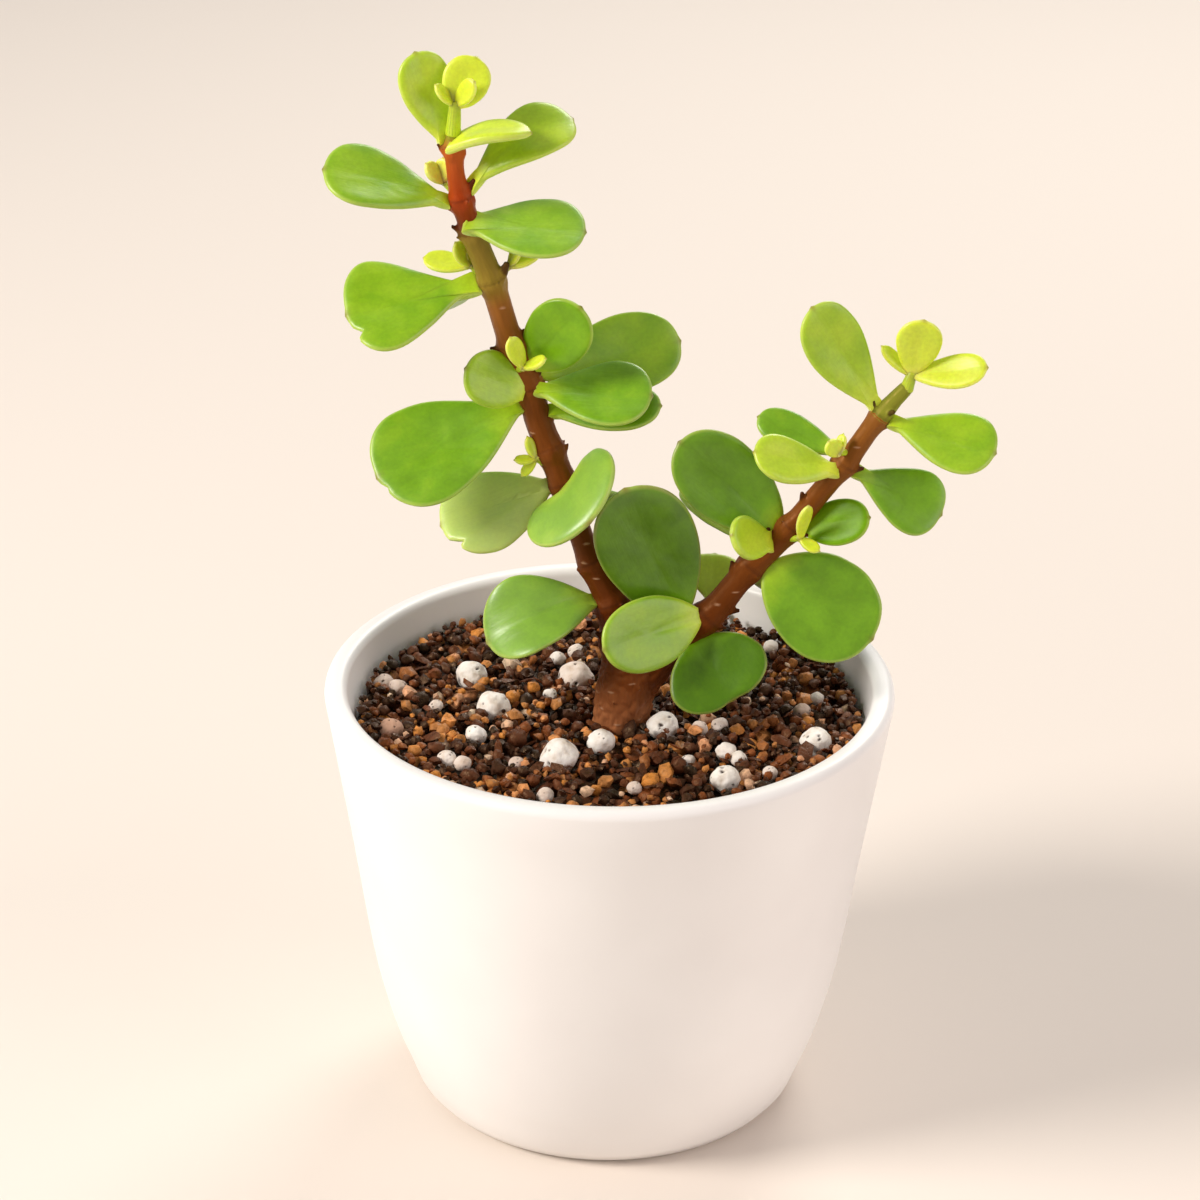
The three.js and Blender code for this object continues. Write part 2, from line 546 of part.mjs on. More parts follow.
// Young shoots and buds: a few tiny leaves grown together on a stub
const shoots = [
  { name: 'shoot_tip_left', on: 'left', at: 143.4, stub: [-21.2, -0.2, 147], radius: 1,
    blades: [
      { tip: [-23.7, -1, 149.8], width: 2, face: [0.6, -0.5, 0.6] },
      { tip: [-18.6, -2, 150.6], width: 2.8, face: [-0.3, -0.8, 0.5] },
      { tip: [-18.4, 2.2, 152.6], width: 6.3, face: [0, -0.93, 0.35], wedge: 0.6 },
    ] },
  { name: 'bud_left_1', on: 'left', at: 135, side: [-0.8, 0.8, 0], stub: [-23, 1.2, 136], radius: 0.5,
    blades: [
      { tip: [-25.2, 0.6, 138.6], width: 2.6, face: [0.6, -0.6, 0.5] },
      { tip: [-23, 1.8, 139], width: 2.4, face: [-0.4, -0.7, 0.5] },
    ] },
  { name: 'bud_left_2', on: 'left', at: 123.6, side: [-1, 0.5, 0], stub: [-19.5, 0.8, 124.5], radius: 0.5,
    blades: [
      { tip: [-21.4, 0.2, 127.8], width: 2.8, face: [0.5, -0.7, 0.5] },
      { tip: [-25.8, 3, 124.6], width: 3.6, face: [0, -0.5, 0.85] },
      { tip: [-19, 1.5, 127.6], width: 2, face: [0.5, -0.7, 0.5] },
    ] },
  { name: 'bud_left_3', on: 'left', at: 123.2, side: [1, 0, 0], stub: [-14.2, 0.4, 124.6], radius: 0.6,
    blades: [
      { tip: [-10, 2, 127.4], width: 3.8, face: [-0.2, -0.6, 0.8] },
      { tip: [-12.8, 0.6, 128], width: 2.2, face: [-0.6, -0.5, 0.6] },
    ] },
  { name: 'bud_left_4', on: 'left', at: 110.4, side: [-0.1, -1, 0], stub: [-12.2, -2.7, 111.2], radius: 0.5,
    blades: [
      { tip: [-14, -3.2, 115.6], width: 2.8, face: [0.5, -0.8, 0.3] },
      { tip: [-9.2, -4, 113], width: 2, face: [-0.2, -0.5, 0.8] },
    ] },
  { name: 'bud_left_5', on: 'left', at: 96.6, side: [-1, -0.5, 0], stub: [-10.6, -0.8, 97], radius: 0.45,
    blades: [
      { tip: [-11.7, -0.8, 100.2], width: 1.6, face: [0.6, -0.7, 0.3] },
      { tip: [-13.4, -1.8, 97.2], width: 1.5, face: [0, -0.6, 0.8] },
      { tip: [-12.4, -1.6, 94.8], width: 1.5, face: [0, -0.8, 0.6] },
    ] },
  { name: 'shoot_tip_right', on: 'right', at: 107.8, stub: [39.9, 0.2, 109.6], radius: 0.9,
    blades: [
      { tip: [41.1, -1.5, 118], width: 6.2, face: [0, -0.93, 0.36], wedge: 0.85 },
      { tip: [49.6, -3, 112], width: 5, face: [-0.1, -0.7, 0.7], wedge: 0.85 },
      { tip: [35.8, 0.5, 113.5], width: 2, face: [0.5, -0.8, 0.4] },
      { tip: [43, 3.5, 114.5], width: 3.2, face: [0, -0.6, 0.7] },
    ] },
  { name: 'bud_right_1', on: 'right', at: 97.6, side: [-0.8, -0.6, 0.6],
    stub: [30.3, -1.4, 98.8], radius: 0.45, blades: [
      { tip: [29, -2.8, 101], width: 2.6, face: [0, -0.9, 0.4], wedge: 0.6 },
      { tip: [31, -0.6, 101.2], width: 1.6, face: [-0.5, -0.5, 0.7] },
    ] },
  { name: 'bud_right_2', on: 'right', at: 86.2, side: [0.6, -1, 0], stub: [25.8, -1.8, 86.2], radius: 0.5,
    blades: [
      { tip: [26.6, -3, 91.6], width: 2.2, face: [0.5, -0.8, 0.4] },
      { tip: [28.3, -3.6, 85.2], width: 1.8, face: [0, -0.6, 0.8] },
    ] },
];

const limbs = { left: leftLimb, right: rightLimb };

// Both limbs in one solid, grown by a margin
function limbsGrown(margin) {
  return fuse(Object.keys(limbs).flatMap((name) => [
    limbSolid(limbs[name], limbSides[name], margin), ...scarSolids(limbs[name], margin),
  ]));
}

// A seat just inside a limb's surface, on the side that a direction gives
function seatOn(limb, height, side) {
  const { point, tangent } = limbPoint(limb, height);
  const out = side.clone().addScaledVector(tangent, -side.dot(tangent)).normalize();
  return point.addScaledVector(out, leafRootDepth * limbRadius(limb, height));
}

const leafShape = {
  thickness: leafThickness, stalk: leafStalk, curl: 0.04, fold: 0.12, notch: 0, wedge: 0.95,
  bow: 0, hang: [0, 0],
};
const youngShape = {
  stalk: youngStalk, curl: 0.06, fold: 0.15, notch: 0, wedge: 0.8, bow: 0, hang: [0, 0],
};

function leafSolid(leaf) {
  const limb = limbs[leaf.on];
  const tip = leaned(limb, leaf.tip);
  const towards = leaf.side
    ? new THREE.Vector3(...leaf.side) : tip.clone().sub(limbPoint(limb, leaf.at).point);
  const base = seatOn(limb, leaf.at, towards);
  const shape = { ...leafShape, ...leaf, base, tip };
  const rimPoints = leaf.width > 8 ? 16 : 12;
  return solidOf(bladeGeometry(bladePlace(shape), shape, rimPoints));
}

// A bent or straight stub with a round section, from its seat to where its blades part
function stubSolid(from, to, radius) {
  const reach = to.clone().sub(from);
  const stub = new THREE.CylinderGeometry(0.8 * radius, radius, reach.length() + radius, 6);
  const turn = new THREE.Quaternion().setFromUnitVectors(new THREE.Vector3(0, 1, 0), reach.normalize());
  stub.applyQuaternion(turn);
  const middle = from.clone().add(to).multiplyScalar(0.5);
  stub.translate(middle.x, middle.y, middle.z);
  return solidOf(stub);
}

const bladeRootDepth = 0.5;

function shootSolid(shoot) {
  const limb = limbs[shoot.on];
  const fork = leaned(limb, shoot.stub);
  const seat = shoot.side
    ? seatOn(limb, shoot.at, new THREE.Vector3(...shoot.side)) : limbPoint(limb, shoot.at).point;
  const parts = [stubSolid(seat, fork, shoot.radius)];
  for (const blade of shoot.blades) {
    const tip = leaned(limb, blade.tip);
    const base = fork.clone().addScaledVector(tip.clone().sub(fork).normalize(), -bladeRootDepth);
    const thickness = 0.7 + 0.12 * blade.width;
    const shape = { ...youngShape, thickness, ...blade, base, tip };
    const rimPoints = blade.width > 4 ? 12 : 8;
    parts.push(solidOf(bladeGeometry(bladePlace(shape), shape, rimPoints)));
  }
  return fuse(parts);
}

addPiece('pot', makePot(), glazeWhite, 0.35);
addPiece('soil', makeSoil(), soilBrown, 0.95);
addPiece('trunk_and_stems', limbsGrown(0), barkBrown, 0.6);
const clearance = limbsGrown(seatGap);
for (const leaf of leaves) addPiece(leaf.name, leafSolid(leaf).subtract(clearance), leafGreen, 0.4);
for (const shoot of shoots) addPiece(shoot.name, shootSolid(shoot).subtract(clearance), youngGreen, 0.4);

export default plant;
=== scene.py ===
# %% [markdown]
# A dwarf jade bonsai in a small white pot.
# The plant is a young one: a pencil-thick trunk that forks into two slim stems, with thick round
# leaves in pairs along them. We build it here as a modeller would by hand, one piece at a time,
# around the plain solids that already give every piece its place and size. Those solids are the
# frame. They are in metres, and so is everything below.

# %% Load the frame
import math
import random
import bpy
import numpy as np
from mathutils import Euler, Matrix, Vector, noise
from mathutils.kdtree import KDTree


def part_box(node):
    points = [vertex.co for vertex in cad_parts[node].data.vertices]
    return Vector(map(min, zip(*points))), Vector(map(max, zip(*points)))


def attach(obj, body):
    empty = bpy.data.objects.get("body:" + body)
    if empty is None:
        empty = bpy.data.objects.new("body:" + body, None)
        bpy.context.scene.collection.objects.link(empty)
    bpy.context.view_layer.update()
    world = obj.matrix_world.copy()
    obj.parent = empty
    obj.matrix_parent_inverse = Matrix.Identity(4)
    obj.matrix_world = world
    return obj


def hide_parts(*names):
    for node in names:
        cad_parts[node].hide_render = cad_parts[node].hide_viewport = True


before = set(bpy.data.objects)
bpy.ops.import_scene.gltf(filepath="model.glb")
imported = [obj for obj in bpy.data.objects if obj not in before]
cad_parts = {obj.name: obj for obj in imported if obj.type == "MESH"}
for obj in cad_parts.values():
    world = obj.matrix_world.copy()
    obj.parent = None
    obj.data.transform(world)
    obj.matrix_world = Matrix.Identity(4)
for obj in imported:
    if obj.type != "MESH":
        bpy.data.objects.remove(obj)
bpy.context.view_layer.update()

# %% [markdown]
# Sizes are easier to read in millimetres, so we keep one factor for them. The pot's rim and height
# come from the frame itself: if the solids change, the pot made here follows.

# %% Measures
MM = 0.001
_, pot_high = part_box("pot")
RIM_RADIUS = pot_high[0] / MM
POT_HEIGHT = pot_high[2] / MM
POT_WALL = 3.2
POT_FLOOR = 4.2
LIP_ROUNDING = 1.3
FOOT_RADIUS = 24.8
SOIL_LEVEL = POT_HEIGHT - 5.5
SOIL_SIDE_GAP = 0.45
SEAT_GAP = 0.3
TRUNK_FOOT = (1.7, -1)
print("rim radius", RIM_RADIUS, "mm, pot height", POT_HEIGHT, "mm")

# %% [markdown]
# The picture we match was taken from a little above the rim, with a long lens: the pot's two sides
# hardly converge. A 107 mm lens on a 36 mm sensor gives that. The camera looks down by 25 degrees
# and is rolled by half a degree, as a hand-held one is. Depth of field stays off, so that every
# leaf is sharp from any side.

# %% Camera
CAMERA_PLACE = (0, -447.7, 286.3)
CAMERA_TURNS = (64.791, -0.578, 0.464)
LENS_MM = 106.8
SENSOR_MM = 36
NEAREST_SEEN = 10


def new_object(name, data):
    thing = bpy.data.objects.new(name, data)
    bpy.context.scene.collection.objects.link(thing)
    return thing


camera_data = bpy.data.cameras.new("camera")
camera_data.lens = LENS_MM
camera_data.sensor_width = SENSOR_MM
camera_data.clip_start = NEAREST_SEEN * MM
camera = new_object("camera", camera_data)
camera.location = Vector(CAMERA_PLACE) * MM
camera.rotation_euler = [math.radians(turn) for turn in CAMERA_TURNS]
bpy.context.scene.camera = camera
print("camera", tuple(round(c, 4) for c in camera.location))

# %% [markdown]
# Colours are picked as the hex values a painter would use on screen, so one function turns them
# into the linear numbers that the shader works with. A second one gives a node its inputs: a socket
# is linked, and anything else is a plain value. A third adds a node with its settings and inputs, so
# that a material below reads as a list of its nodes.

# %% Colour and node helpers
def linear(hex_colour):
    shares = [int(hex_colour[i:i + 2], 16) / 255 for i in (1, 3, 5)]
    return [s / 12.92 if s <= 0.04045 else ((s + 0.055) / 1.055) ** 2.4 for s in shares] + [1]


def set_inputs(node, inputs):
    for name, value in inputs.items():
        if isinstance(value, bpy.types.NodeSocket):
            node.id_data.links.new(value, node.inputs[name])
        else:
            node.inputs[name].default_value = value


def add_node(tree, kind, inputs=None, stops=(), **settings):
    node = tree.nodes.new("ShaderNode" + kind)
    for name, value in settings.items():
        setattr(node, name, value)
    set_inputs(node, inputs or {})
    for number, (place, colour) in enumerate(stops):
        elements = node.color_ramp.elements
        stop = elements[number] if number < 2 else elements.new(place)
        stop.position = place
        stop.color = linear(colour)
    return node


def new_material(name):
    material = bpy.data.materials.new(name)
    material.use_nodes = True
    return material, material.node_tree, material.node_tree.nodes["Principled BSDF"]


print("white is", linear("#ffffff")[:3])

# %% [markdown]
# The set is a plain pale floor under soft studio light. One large lamp stands at the left, in front
# and above: it makes the pot's left side the brightest and lets its right side fall into a warm
# shade. A big weak lamp at the right keeps that shade open, and a third from behind gives the
# leaves the thin bright edges that the eye expects on something so thick and moist.

# %% Floor and light
floor_material, tree, shader = new_material("matte_pale_paper")
set_inputs(shader, {"Base Color": linear("#e6dcd2"), "Roughness": 0.9})
bpy.ops.mesh.primitive_plane_add(size=8)
floor = bpy.context.object
floor.name = "floor"
floor.data.materials.append(floor_material)

LAMP_AIM = (0, 0, 80)
LAMPS = [
    ("key_lamp", (-700, -250, 560), 340, 7.8, "#fff8f0"),
    ("fill_lamp", (740, -340, 440), 700, 3.1, "#fff0ea"),
    ("back_lamp", (250, 640, 620), 420, 3.5, "#fffdf8"),
]
for name, place, width, power, colour in LAMPS:
    lamp_data = bpy.data.lights.new(name, "AREA")
    lamp_data.shape = "DISK"
    lamp_data.size = width * MM
    lamp_data.energy = power
    lamp_data.color = linear(colour)[:3]
    lamp = new_object(name, lamp_data)
    lamp.location = Vector(place) * MM
    aim = Vector(LAMP_AIM) * MM - lamp.location
    lamp.rotation_euler = aim.to_track_quat("-Z", "Y").to_euler()

world = bpy.data.worlds.new("soft_room")
world.use_nodes = True
set_inputs(world.node_tree.nodes["Background"], {"Color": linear("#f7f5f6"), "Strength": 0.36})
bpy.context.scene.world = world
bpy.context.scene.view_settings.view_transform = "Standard"
print(len(LAMPS), "lamps")

# %% [markdown]
# A few habits of hand modelling come back for every piece: start with nothing selected, join what
# belongs together, and store the finished piece with its place in its mesh. These helpers do that,
# so that each cell below only shapes its own piece. Edit mode is entered with everything selected, or
# left with nothing selected, so that edges or faces can be chosen by their place. The last three read
# and write the points of a mesh all at once, and paint a number on each point for a material to read.

# %% Modelling helpers
def nothing_selected():
    bpy.ops.object.select_all(action="DESELECT")


def select(*pieces):
    nothing_selected()
    for piece in pieces:
        piece.select_set(True)
    bpy.context.view_layer.objects.active = pieces[0]


def edit_all():
    bpy.ops.object.mode_set(mode="EDIT")
    bpy.ops.mesh.select_all(action="SELECT")


def edit_none(select_by):
    bpy.ops.object.mode_set(mode="EDIT")
    bpy.ops.mesh.select_mode(type=select_by)
    bpy.ops.mesh.select_all(action="DESELECT")
    bpy.ops.object.mode_set(mode="OBJECT")


def joined(pieces):
    select(*pieces)
    bpy.ops.object.join()
    return pieces[0]


def apply_modifier(piece, kind, **settings):
    select(piece)
    modifier = piece.modifiers.new(kind.lower(), kind)
    for name, value in settings.items():
        setattr(modifier, name, value)
    bpy.ops.object.modifier_apply(modifier=modifier.name)


def place_in_mesh(piece):
    select(piece)
    bpy.ops.object.transform_apply(location=True, rotation=True, scale=True)


def finish_piece(piece, name, material, stands_for=(), smooth_below=60):
    piece.name = name
    piece.data.name = name
    place_in_mesh(piece)
    piece.data.materials.clear()
    piece.data.materials.append(material)
    bpy.ops.object.shade_smooth_by_angle(angle=math.radians(smooth_below))
    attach(piece, "root")
    if stands_for:
        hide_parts(*stands_for)
    faces = sum(len(face.vertices) - 2 for face in piece.data.polygons)
    print(name, faces, "triangles")


def points_of(mesh):
    flat = np.empty(3 * len(mesh.vertices))
    mesh.vertices.foreach_get("co", flat)
    return flat.reshape(-1, 3)


def set_points(mesh, points):
    mesh.vertices.foreach_set("co", np.asarray(points, dtype=float).ravel())
    mesh.update()


def paint(mesh, name, values, kind="FLOAT"):
    layer = mesh.attributes.new(name, kind, "POINT")
    field = "value" if kind == "FLOAT" else "vector"
    layer.data.foreach_set(field, np.asarray(values, dtype=float).ravel())


nothing_selected()
print("ready to model")

# %% [markdown]
# A turned form such as the pot is drawn as a row of (radius, height) pairs, from the middle of its
# underside, up the outside, over the lip and down the inside. We start with a filled circle and
# then extrude and resize it once for each pair. It is the way a potter pulls a wall, and it leaves
# clean rings of faces that a later modifier can work on. A smooth curve through a few chosen points
# gives the rows in between. Its tangents are weighed by the spacing of the points, so that it
# doesn't overshoot where a long span meets a short one.

# %% Turning by hand
TURNED_SIDES = 128


def turned(profile, sides=TURNED_SIDES):
    first_radius, first_height = profile[0]
    nothing_selected()
    bpy.ops.mesh.primitive_circle_add(
        vertices=sides, radius=first_radius * MM, fill_type="NGON", location=(0, 0, first_height * MM))
    piece = bpy.context.object
    place_in_mesh(piece)
    edit_all()
    for (radius, height), (next_radius, next_height) in zip(profile, profile[1:]):
        rise = (0, 0, (next_height - height) * MM)
        bpy.ops.mesh.extrude_region_move(TRANSFORM_OT_translate={"value": rise})
        share = next_radius / radius
        bpy.ops.transform.resize(value=(share, share, 1), center_override=(0, 0, next_height * MM))
    bpy.ops.mesh.select_all(action="SELECT")
    bpy.ops.mesh.normals_make_consistent(inside=False)
    bpy.ops.object.mode_set(mode="OBJECT")
    return piece


def spline(points, count):
    """A smooth curve through points, as count places in each span."""
    points = np.asarray(points, dtype=float)
    ends = [2 * points[0] - points[1], *points, 2 * points[-1] - points[-2]]
    places = []
    for p0, p1, p2, p3 in zip(ends, ends[1:], ends[2:], ends[3:]):
        d0, d1, d2 = [max(np.linalg.norm(b - a) ** 0.5, 1e-4) for a, b in ((p0, p1), (p1, p2), (p2, p3))]
        leave = d1 * ((p1 - p0) / d0 - (p2 - p0) / (d0 + d1) + (p2 - p1) / d1)
        arrive = d1 * ((p2 - p1) / d1 - (p3 - p1) / (d1 + d2) + (p3 - p2) / d2)
        for t in np.arange(count) / count:
            places.append(p1 + leave * t + (3 * (p2 - p1) - 2 * leave - arrive) * t ** 2
                          + (2 * (p1 - p2) + leave + arrive) * t ** 3)
    return np.array(places + [points[-1]])


print("a spline of 3 points in 4 steps:", len(spline([(0, 0), (1, 0), (2, 1)], 4)), "places")

# %% [markdown]
# The pot is slip-cast stoneware under a white satin glaze. Its side is almost straight at the top
# and rounds in towards the foot. The lip is as thick as the wall and fully rounded, because glaze
# pulls away from sharp edges. Inside, the wall runs parallel to the side, down to a rounded corner.

# %% The pot's profile
FOOT_ARC = [(FOOT_RADIUS, 0), (26.6, 0.7), (28, 2.4)]
SIDE = [(29.3, 6), (30.8, 10), (33.4, 20), (36.5, 40), (RIM_RADIUS, POT_HEIGHT - LIP_ROUNDING)]
CAVITY_FOOT = [(21, POT_FLOOR), (23.2, 4.8), (24.4, 6), (25.6, 8)]
CAVITY_WALL_ABOVE = 12
CAVITY_TOP = RIM_RADIUS - POT_WALL
LIP_STEPS = 7


def lip_arc(centre_radius, first_turn, last_turn):
    turns = np.radians(np.linspace(first_turn, last_turn, LIP_STEPS))
    return [(centre_radius + LIP_ROUNDING * math.cos(t), POT_HEIGHT - LIP_ROUNDING * (1 - math.sin(t)))
            for t in turns]


side_rows = [tuple(p) for p in spline(SIDE, 5)]
cavity_rows = CAVITY_FOOT + [(r - POT_WALL, h) for r, h in side_rows if h > CAVITY_WALL_ABOVE]
pot_profile = [(1, 0)] + FOOT_ARC + side_rows[:-1]
pot_profile += lip_arc(RIM_RADIUS - LIP_ROUNDING, 0, 90)
pot_profile += lip_arc(CAVITY_TOP + LIP_ROUNDING, 90, 180)
pot_profile += cavity_rows[-2::-1] + [(1, POT_FLOOR)]
print(len(pot_profile), "rings")

# %% [markdown]
# Satin glaze over stoneware: nearly white and slightly warm, with a soft highlight. The IOR of a
# glass glaze is about 1.5, and the roughness comes from tiny crystals in the glaze. A glaze is never
# quite even: its thickness drifts over a few centimetres, which shows as a hint of tint, and its
# surface has a fine ripple of about 2 mm, far too low to see except in the highlight.

# %% Satin white glaze
glaze, tree, shader = new_material("satin_white_glaze")
where = add_node(tree, "TexCoord")
drift = add_node(tree, "TexNoise", {
    "Vector": where.outputs["Object"], "Scale": 1 / (25 * MM), "Detail": 2.0})
tint = add_node(tree, "ValToRGB", {"Fac": drift.outputs["Fac"]}, stops=[(0.3, "#f3f0ee"), (0.7, "#faf8f6")])
ripple = add_node(tree, "TexNoise", {
    "Vector": where.outputs["Object"], "Scale": 1 / (2 * MM), "Detail": 3.0})
ripple_bump = add_node(tree, "Bump", {
    "Height": ripple.outputs["Fac"], "Strength": 0.06, "Distance": 0.1 * MM})
sheen_drift = add_node(tree, "MapRange", {"Value": drift.outputs["Fac"], "To Min": 0.36, "To Max": 0.46})
set_inputs(shader, {
    "Base Color": tint.outputs["Color"], "Roughness": sheen_drift.outputs["Result"],
    "Normal": ripple_bump.outputs["Normal"], "IOR": 1.5, "Coat Weight": 0.12, "Coat Roughness": 0.22})
print(glaze.name, len(tree.nodes), "nodes")

# %% [markdown]
# The pot itself is turned from its profile. Water has to leave it, so three drain holes go through
# the floor. A hole is made as a drill would make it: a cylinder stands in the floor, and a boolean
# takes it away.

# %% The pot
DRAIN_HOLES = 3
DRAIN_RADIUS = 3
DRAIN_RING = 13

pot = turned(pot_profile)
for i in range(DRAIN_HOLES):
    angle = math.pi / 2 + 2 * math.pi * i / DRAIN_HOLES
    nothing_selected()
    bpy.ops.mesh.primitive_cylinder_add(
        vertices=32, radius=DRAIN_RADIUS * MM, depth=3 * POT_FLOOR * MM,
        location=(DRAIN_RING * math.cos(angle) * MM, DRAIN_RING * math.sin(angle) * MM, POT_FLOOR / 2 * MM))
    drill = bpy.context.object
    apply_modifier(pot, "BOOLEAN", operation="DIFFERENCE", object=drill, solver="EXACT")
    bpy.data.objects.remove(drill)
finish_piece(pot, "glazed_pot", glaze, ["pot"], smooth_below=35)

# %% [markdown]
# The trunk runs on into the left stem, and the right branch leaves it at the fork. Each limb is a
# list of stops on its centre line, as (x, y, height, radius) in millimetres, with the heights of its
# nodes. A node is the ring where a pair of leaves once grew, and the stem is a little thicker there.
# The lean pairs say how far the limb leans away from the front at a height, and what leans also
# drops a little. These are the same lists that the solids were drawn from, so the finer limb made
# here stays where the plain one is.

# %% The limbs' centre lines
DROP_WITH_LEAN = 0.4
STEPS_PER_STOP = 24
LEFT_LIMB = dict(
    lean=[(62, 0), (82, 1.5), (107, 4.5), (125, 4), (152, 1.5)],
    stops=[
        (1.4, -1, 43, 1.6), (1.5, -1, 49, 3.2), (1.7, -1, 57.5, 4), (2.1, -1, 61.5, 4.1),
        (2.6, -0.8, 66, 4), (1.7, -0.5, 70.5, 3.1), (0.2, -0.2, 75.5, 2.4), (-2.8, 0.2, 81.5, 1.9),
        (-4.1, 0.5, 84.7, 1.65), (-7, 0.8, 93.3, 1.85), (-10.2, 0.8, 102, 1.95),
        (-11.6, 0.6, 107.3, 1.8), (-14.1, 0.3, 114, 1.7), (-16.5, 0, 122.3, 1.7),
        (-18.6, -0.3, 128.2, 1.6), (-20.5, -0.5, 134, 1.4), (-21.2, -0.45, 137.5, 1.2),
        (-21.4, -0.4, 140.6, 1.2), (-21.5, -0.3, 143.4, 0.85)],
    nodes=[70.3, 75, 81, 92.5, 97.5, 106.8, 113.2, 122.4, 129.5, 134, 141],
    swelling=0.45)
RIGHT_LIMB = dict(
    lean=[(66, 0), (75, -1), (97, -4), (118, -3)],
    stops=[
        (2.4, -0.9, 60.5, 2.6), (4.6, -0.9, 63.8, 2.7), (7.2, -0.7, 67.4, 2.5),
        (10.1, -0.5, 70.8, 2.2), (14, -0.1, 74, 2),
        (18.5, 0.4, 79.9, 1.75), (23.5, 0.8, 85.3, 1.6), (28.1, 1, 91.6, 1.5), (32, 1, 97, 1.45),
        (34.8, 0.8, 101.6, 1.35), (37.6, 0.5, 105.6, 1.15), (39.4, 0.3, 107.8, 1)],
    nodes=[73.2, 80.6, 86.6, 96, 103.2],
    swelling=0.4)
LIMBS = {"left": LEFT_LIMB, "right": RIGHT_LIMB}


def leaned(limb, point):
    heights, depths = zip(*limb["lean"])
    depth = np.interp(point[..., 2], heights, depths)
    return point + depth[..., None] * np.array((0, 1, -DROP_WITH_LEAN))


for limb in LIMBS.values():
    path = spline([stop[:3] for stop in limb["stops"]], STEPS_PER_STOP)
    limb["heights"] = path[:, 2]
    limb["centres"] = leaned(limb, path)
    steps = np.gradient(limb["centres"], axis=0)
    limb["tangents"] = steps / np.linalg.norm(steps, axis=1)[:, None]
    print("limb from", path[0][2], "to", path[-1][2], "mm")

# %% [markdown]
# Three small questions can be asked of a limb at any height: where its centre is, which way it
# runs, and how thick it is. A fourth gives a point on its skin from a height, an angle round it and
# a distance from the skin, and everything that grows on the limb is placed with that.

# %% Questions to a limb
NODE_SPREAD = 1.1


def limb_at(limb, heights):
    centres, tangents = [
        np.stack([np.interp(heights, limb["heights"], limb[key][:, axis]) for axis in range(3)], axis=-1)
        for key in ("centres", "tangents")]
    return centres, tangents / np.linalg.norm(tangents, axis=-1, keepdims=True)


def limb_radius(limb, heights):
    bare = np.interp(heights, [stop[2] for stop in limb["stops"]], [stop[3] for stop in limb["stops"]])
    swell = [np.exp(-((heights - node) / NODE_SPREAD) ** 2) for node in limb["nodes"]]
    return bare + limb["swelling"] * np.max(swell, axis=0)


def skin_point(limb, heights, angles, out=0):
    centres, tangents = limb_at(limb, heights)
    across = np.cross((0, -1, 0), tangents)
    across /= np.linalg.norm(across, axis=-1, keepdims=True)
    front = np.cross(tangents, across)
    reach = np.asarray(limb_radius(limb, heights) + out)[..., None]
    turns = np.asarray(angles)[..., None]
    return centres + reach * (np.cos(turns) * across + np.sin(turns) * front)


def unit(vector):
    vector = np.asarray(vector, dtype=float)
    return vector / np.linalg.norm(vector)


print("left stem at 100 mm:", limb_at(LEFT_LIMB, 100)[0].round(1))

# %% [markdown]
# Young jade bark is smooth, red-brown and a little glossy. It is drawn out lengthwise in fine
# streaks, and it changes from the flaky brown foot to red-brown, to a stretch that is still olive
# green, and to bright orange-red just under the tip. So the colour follows an age that is painted on
# the mesh from foot to tip, and the streaks follow a coordinate that runs along the limb. Streaks
# are about 0.4 mm wide and ten times as long. The dry scales at the nodes are dark, the collars
# under them a shade darker than the bark, and small pale cork marks, called lenticels, lie across
# the stem.

# %% Bark
bark, tree, shader = new_material("young_jade_bark")
age, grain, collar, cork = [
    add_node(tree, "Attribute", attribute_name=name) for name in ("age", "limb_grain", "collar", "cork")]
where = add_node(tree, "TexCoord")
by_age = add_node(tree, "ValToRGB", {"Fac": age.outputs["Fac"]}, stops=[
    (0.0, "#b0724a"), (0.12, "#88481f"), (0.28, "#642a08"), (0.6, "#7a4012"), (0.72, "#925c24"),
    (0.77, "#97802e"), (0.83, "#9c8636"), (0.855, "#74300f"), (0.9, "#a63c12"), (0.96, "#c05a24"),
    (1.0, "#8f9430")])
streak_space = add_node(tree, "Mapping", {"Vector": grain.outputs["Vector"], "Scale": (2.2, 2.2, 0.22)})
streaks = add_node(tree, "TexNoise", {
    "Vector": streak_space.outputs["Vector"], "Scale": 1.0, "Detail": 4.0, "Roughness": 0.6})
streak_tone = add_node(tree, "ValToRGB", {"Fac": streaks.outputs["Fac"]},
                       stops=[(0.3, "#8a7e78"), (0.48, "#c8c0ba"), (0.7, "#ffffff")])
streaked = add_node(tree, "Mix", {
    "Factor": 0.25, "A": by_age.outputs["Color"], "B": streak_tone.outputs["Color"]},
    data_type="RGBA", blend_type="MULTIPLY")
collared = add_node(tree, "Mix", {
    "Factor": collar.outputs["Fac"], "A": streaked.outputs["Result"], "B": linear("#35140a")},
    data_type="RGBA")
corky = add_node(tree, "Mix", {
    "Factor": cork.outputs["Fac"], "A": collared.outputs["Result"], "B": linear("#bd9070")},
    data_type="RGBA")
flecks = add_node(tree, "TexNoise", {
    "Vector": where.outputs["Object"], "Scale": 1 / (0.6 * MM), "Detail": 3.0})
gloss = add_node(tree, "MapRange", {
    "Value": flecks.outputs["Fac"], "From Min": 0.35, "From Max": 0.65, "To Min": 0.34, "To Max": 0.55})
streak_bump = add_node(tree, "Bump", {
    "Height": streaks.outputs["Fac"], "Strength": 0.3, "Distance": 0.1 * MM})
fleck_bump = add_node(tree, "Bump", {
    "Height": flecks.outputs["Fac"], "Strength": 0.35, "Distance": 0.08 * MM,
    "Normal": streak_bump.outputs["Normal"]})
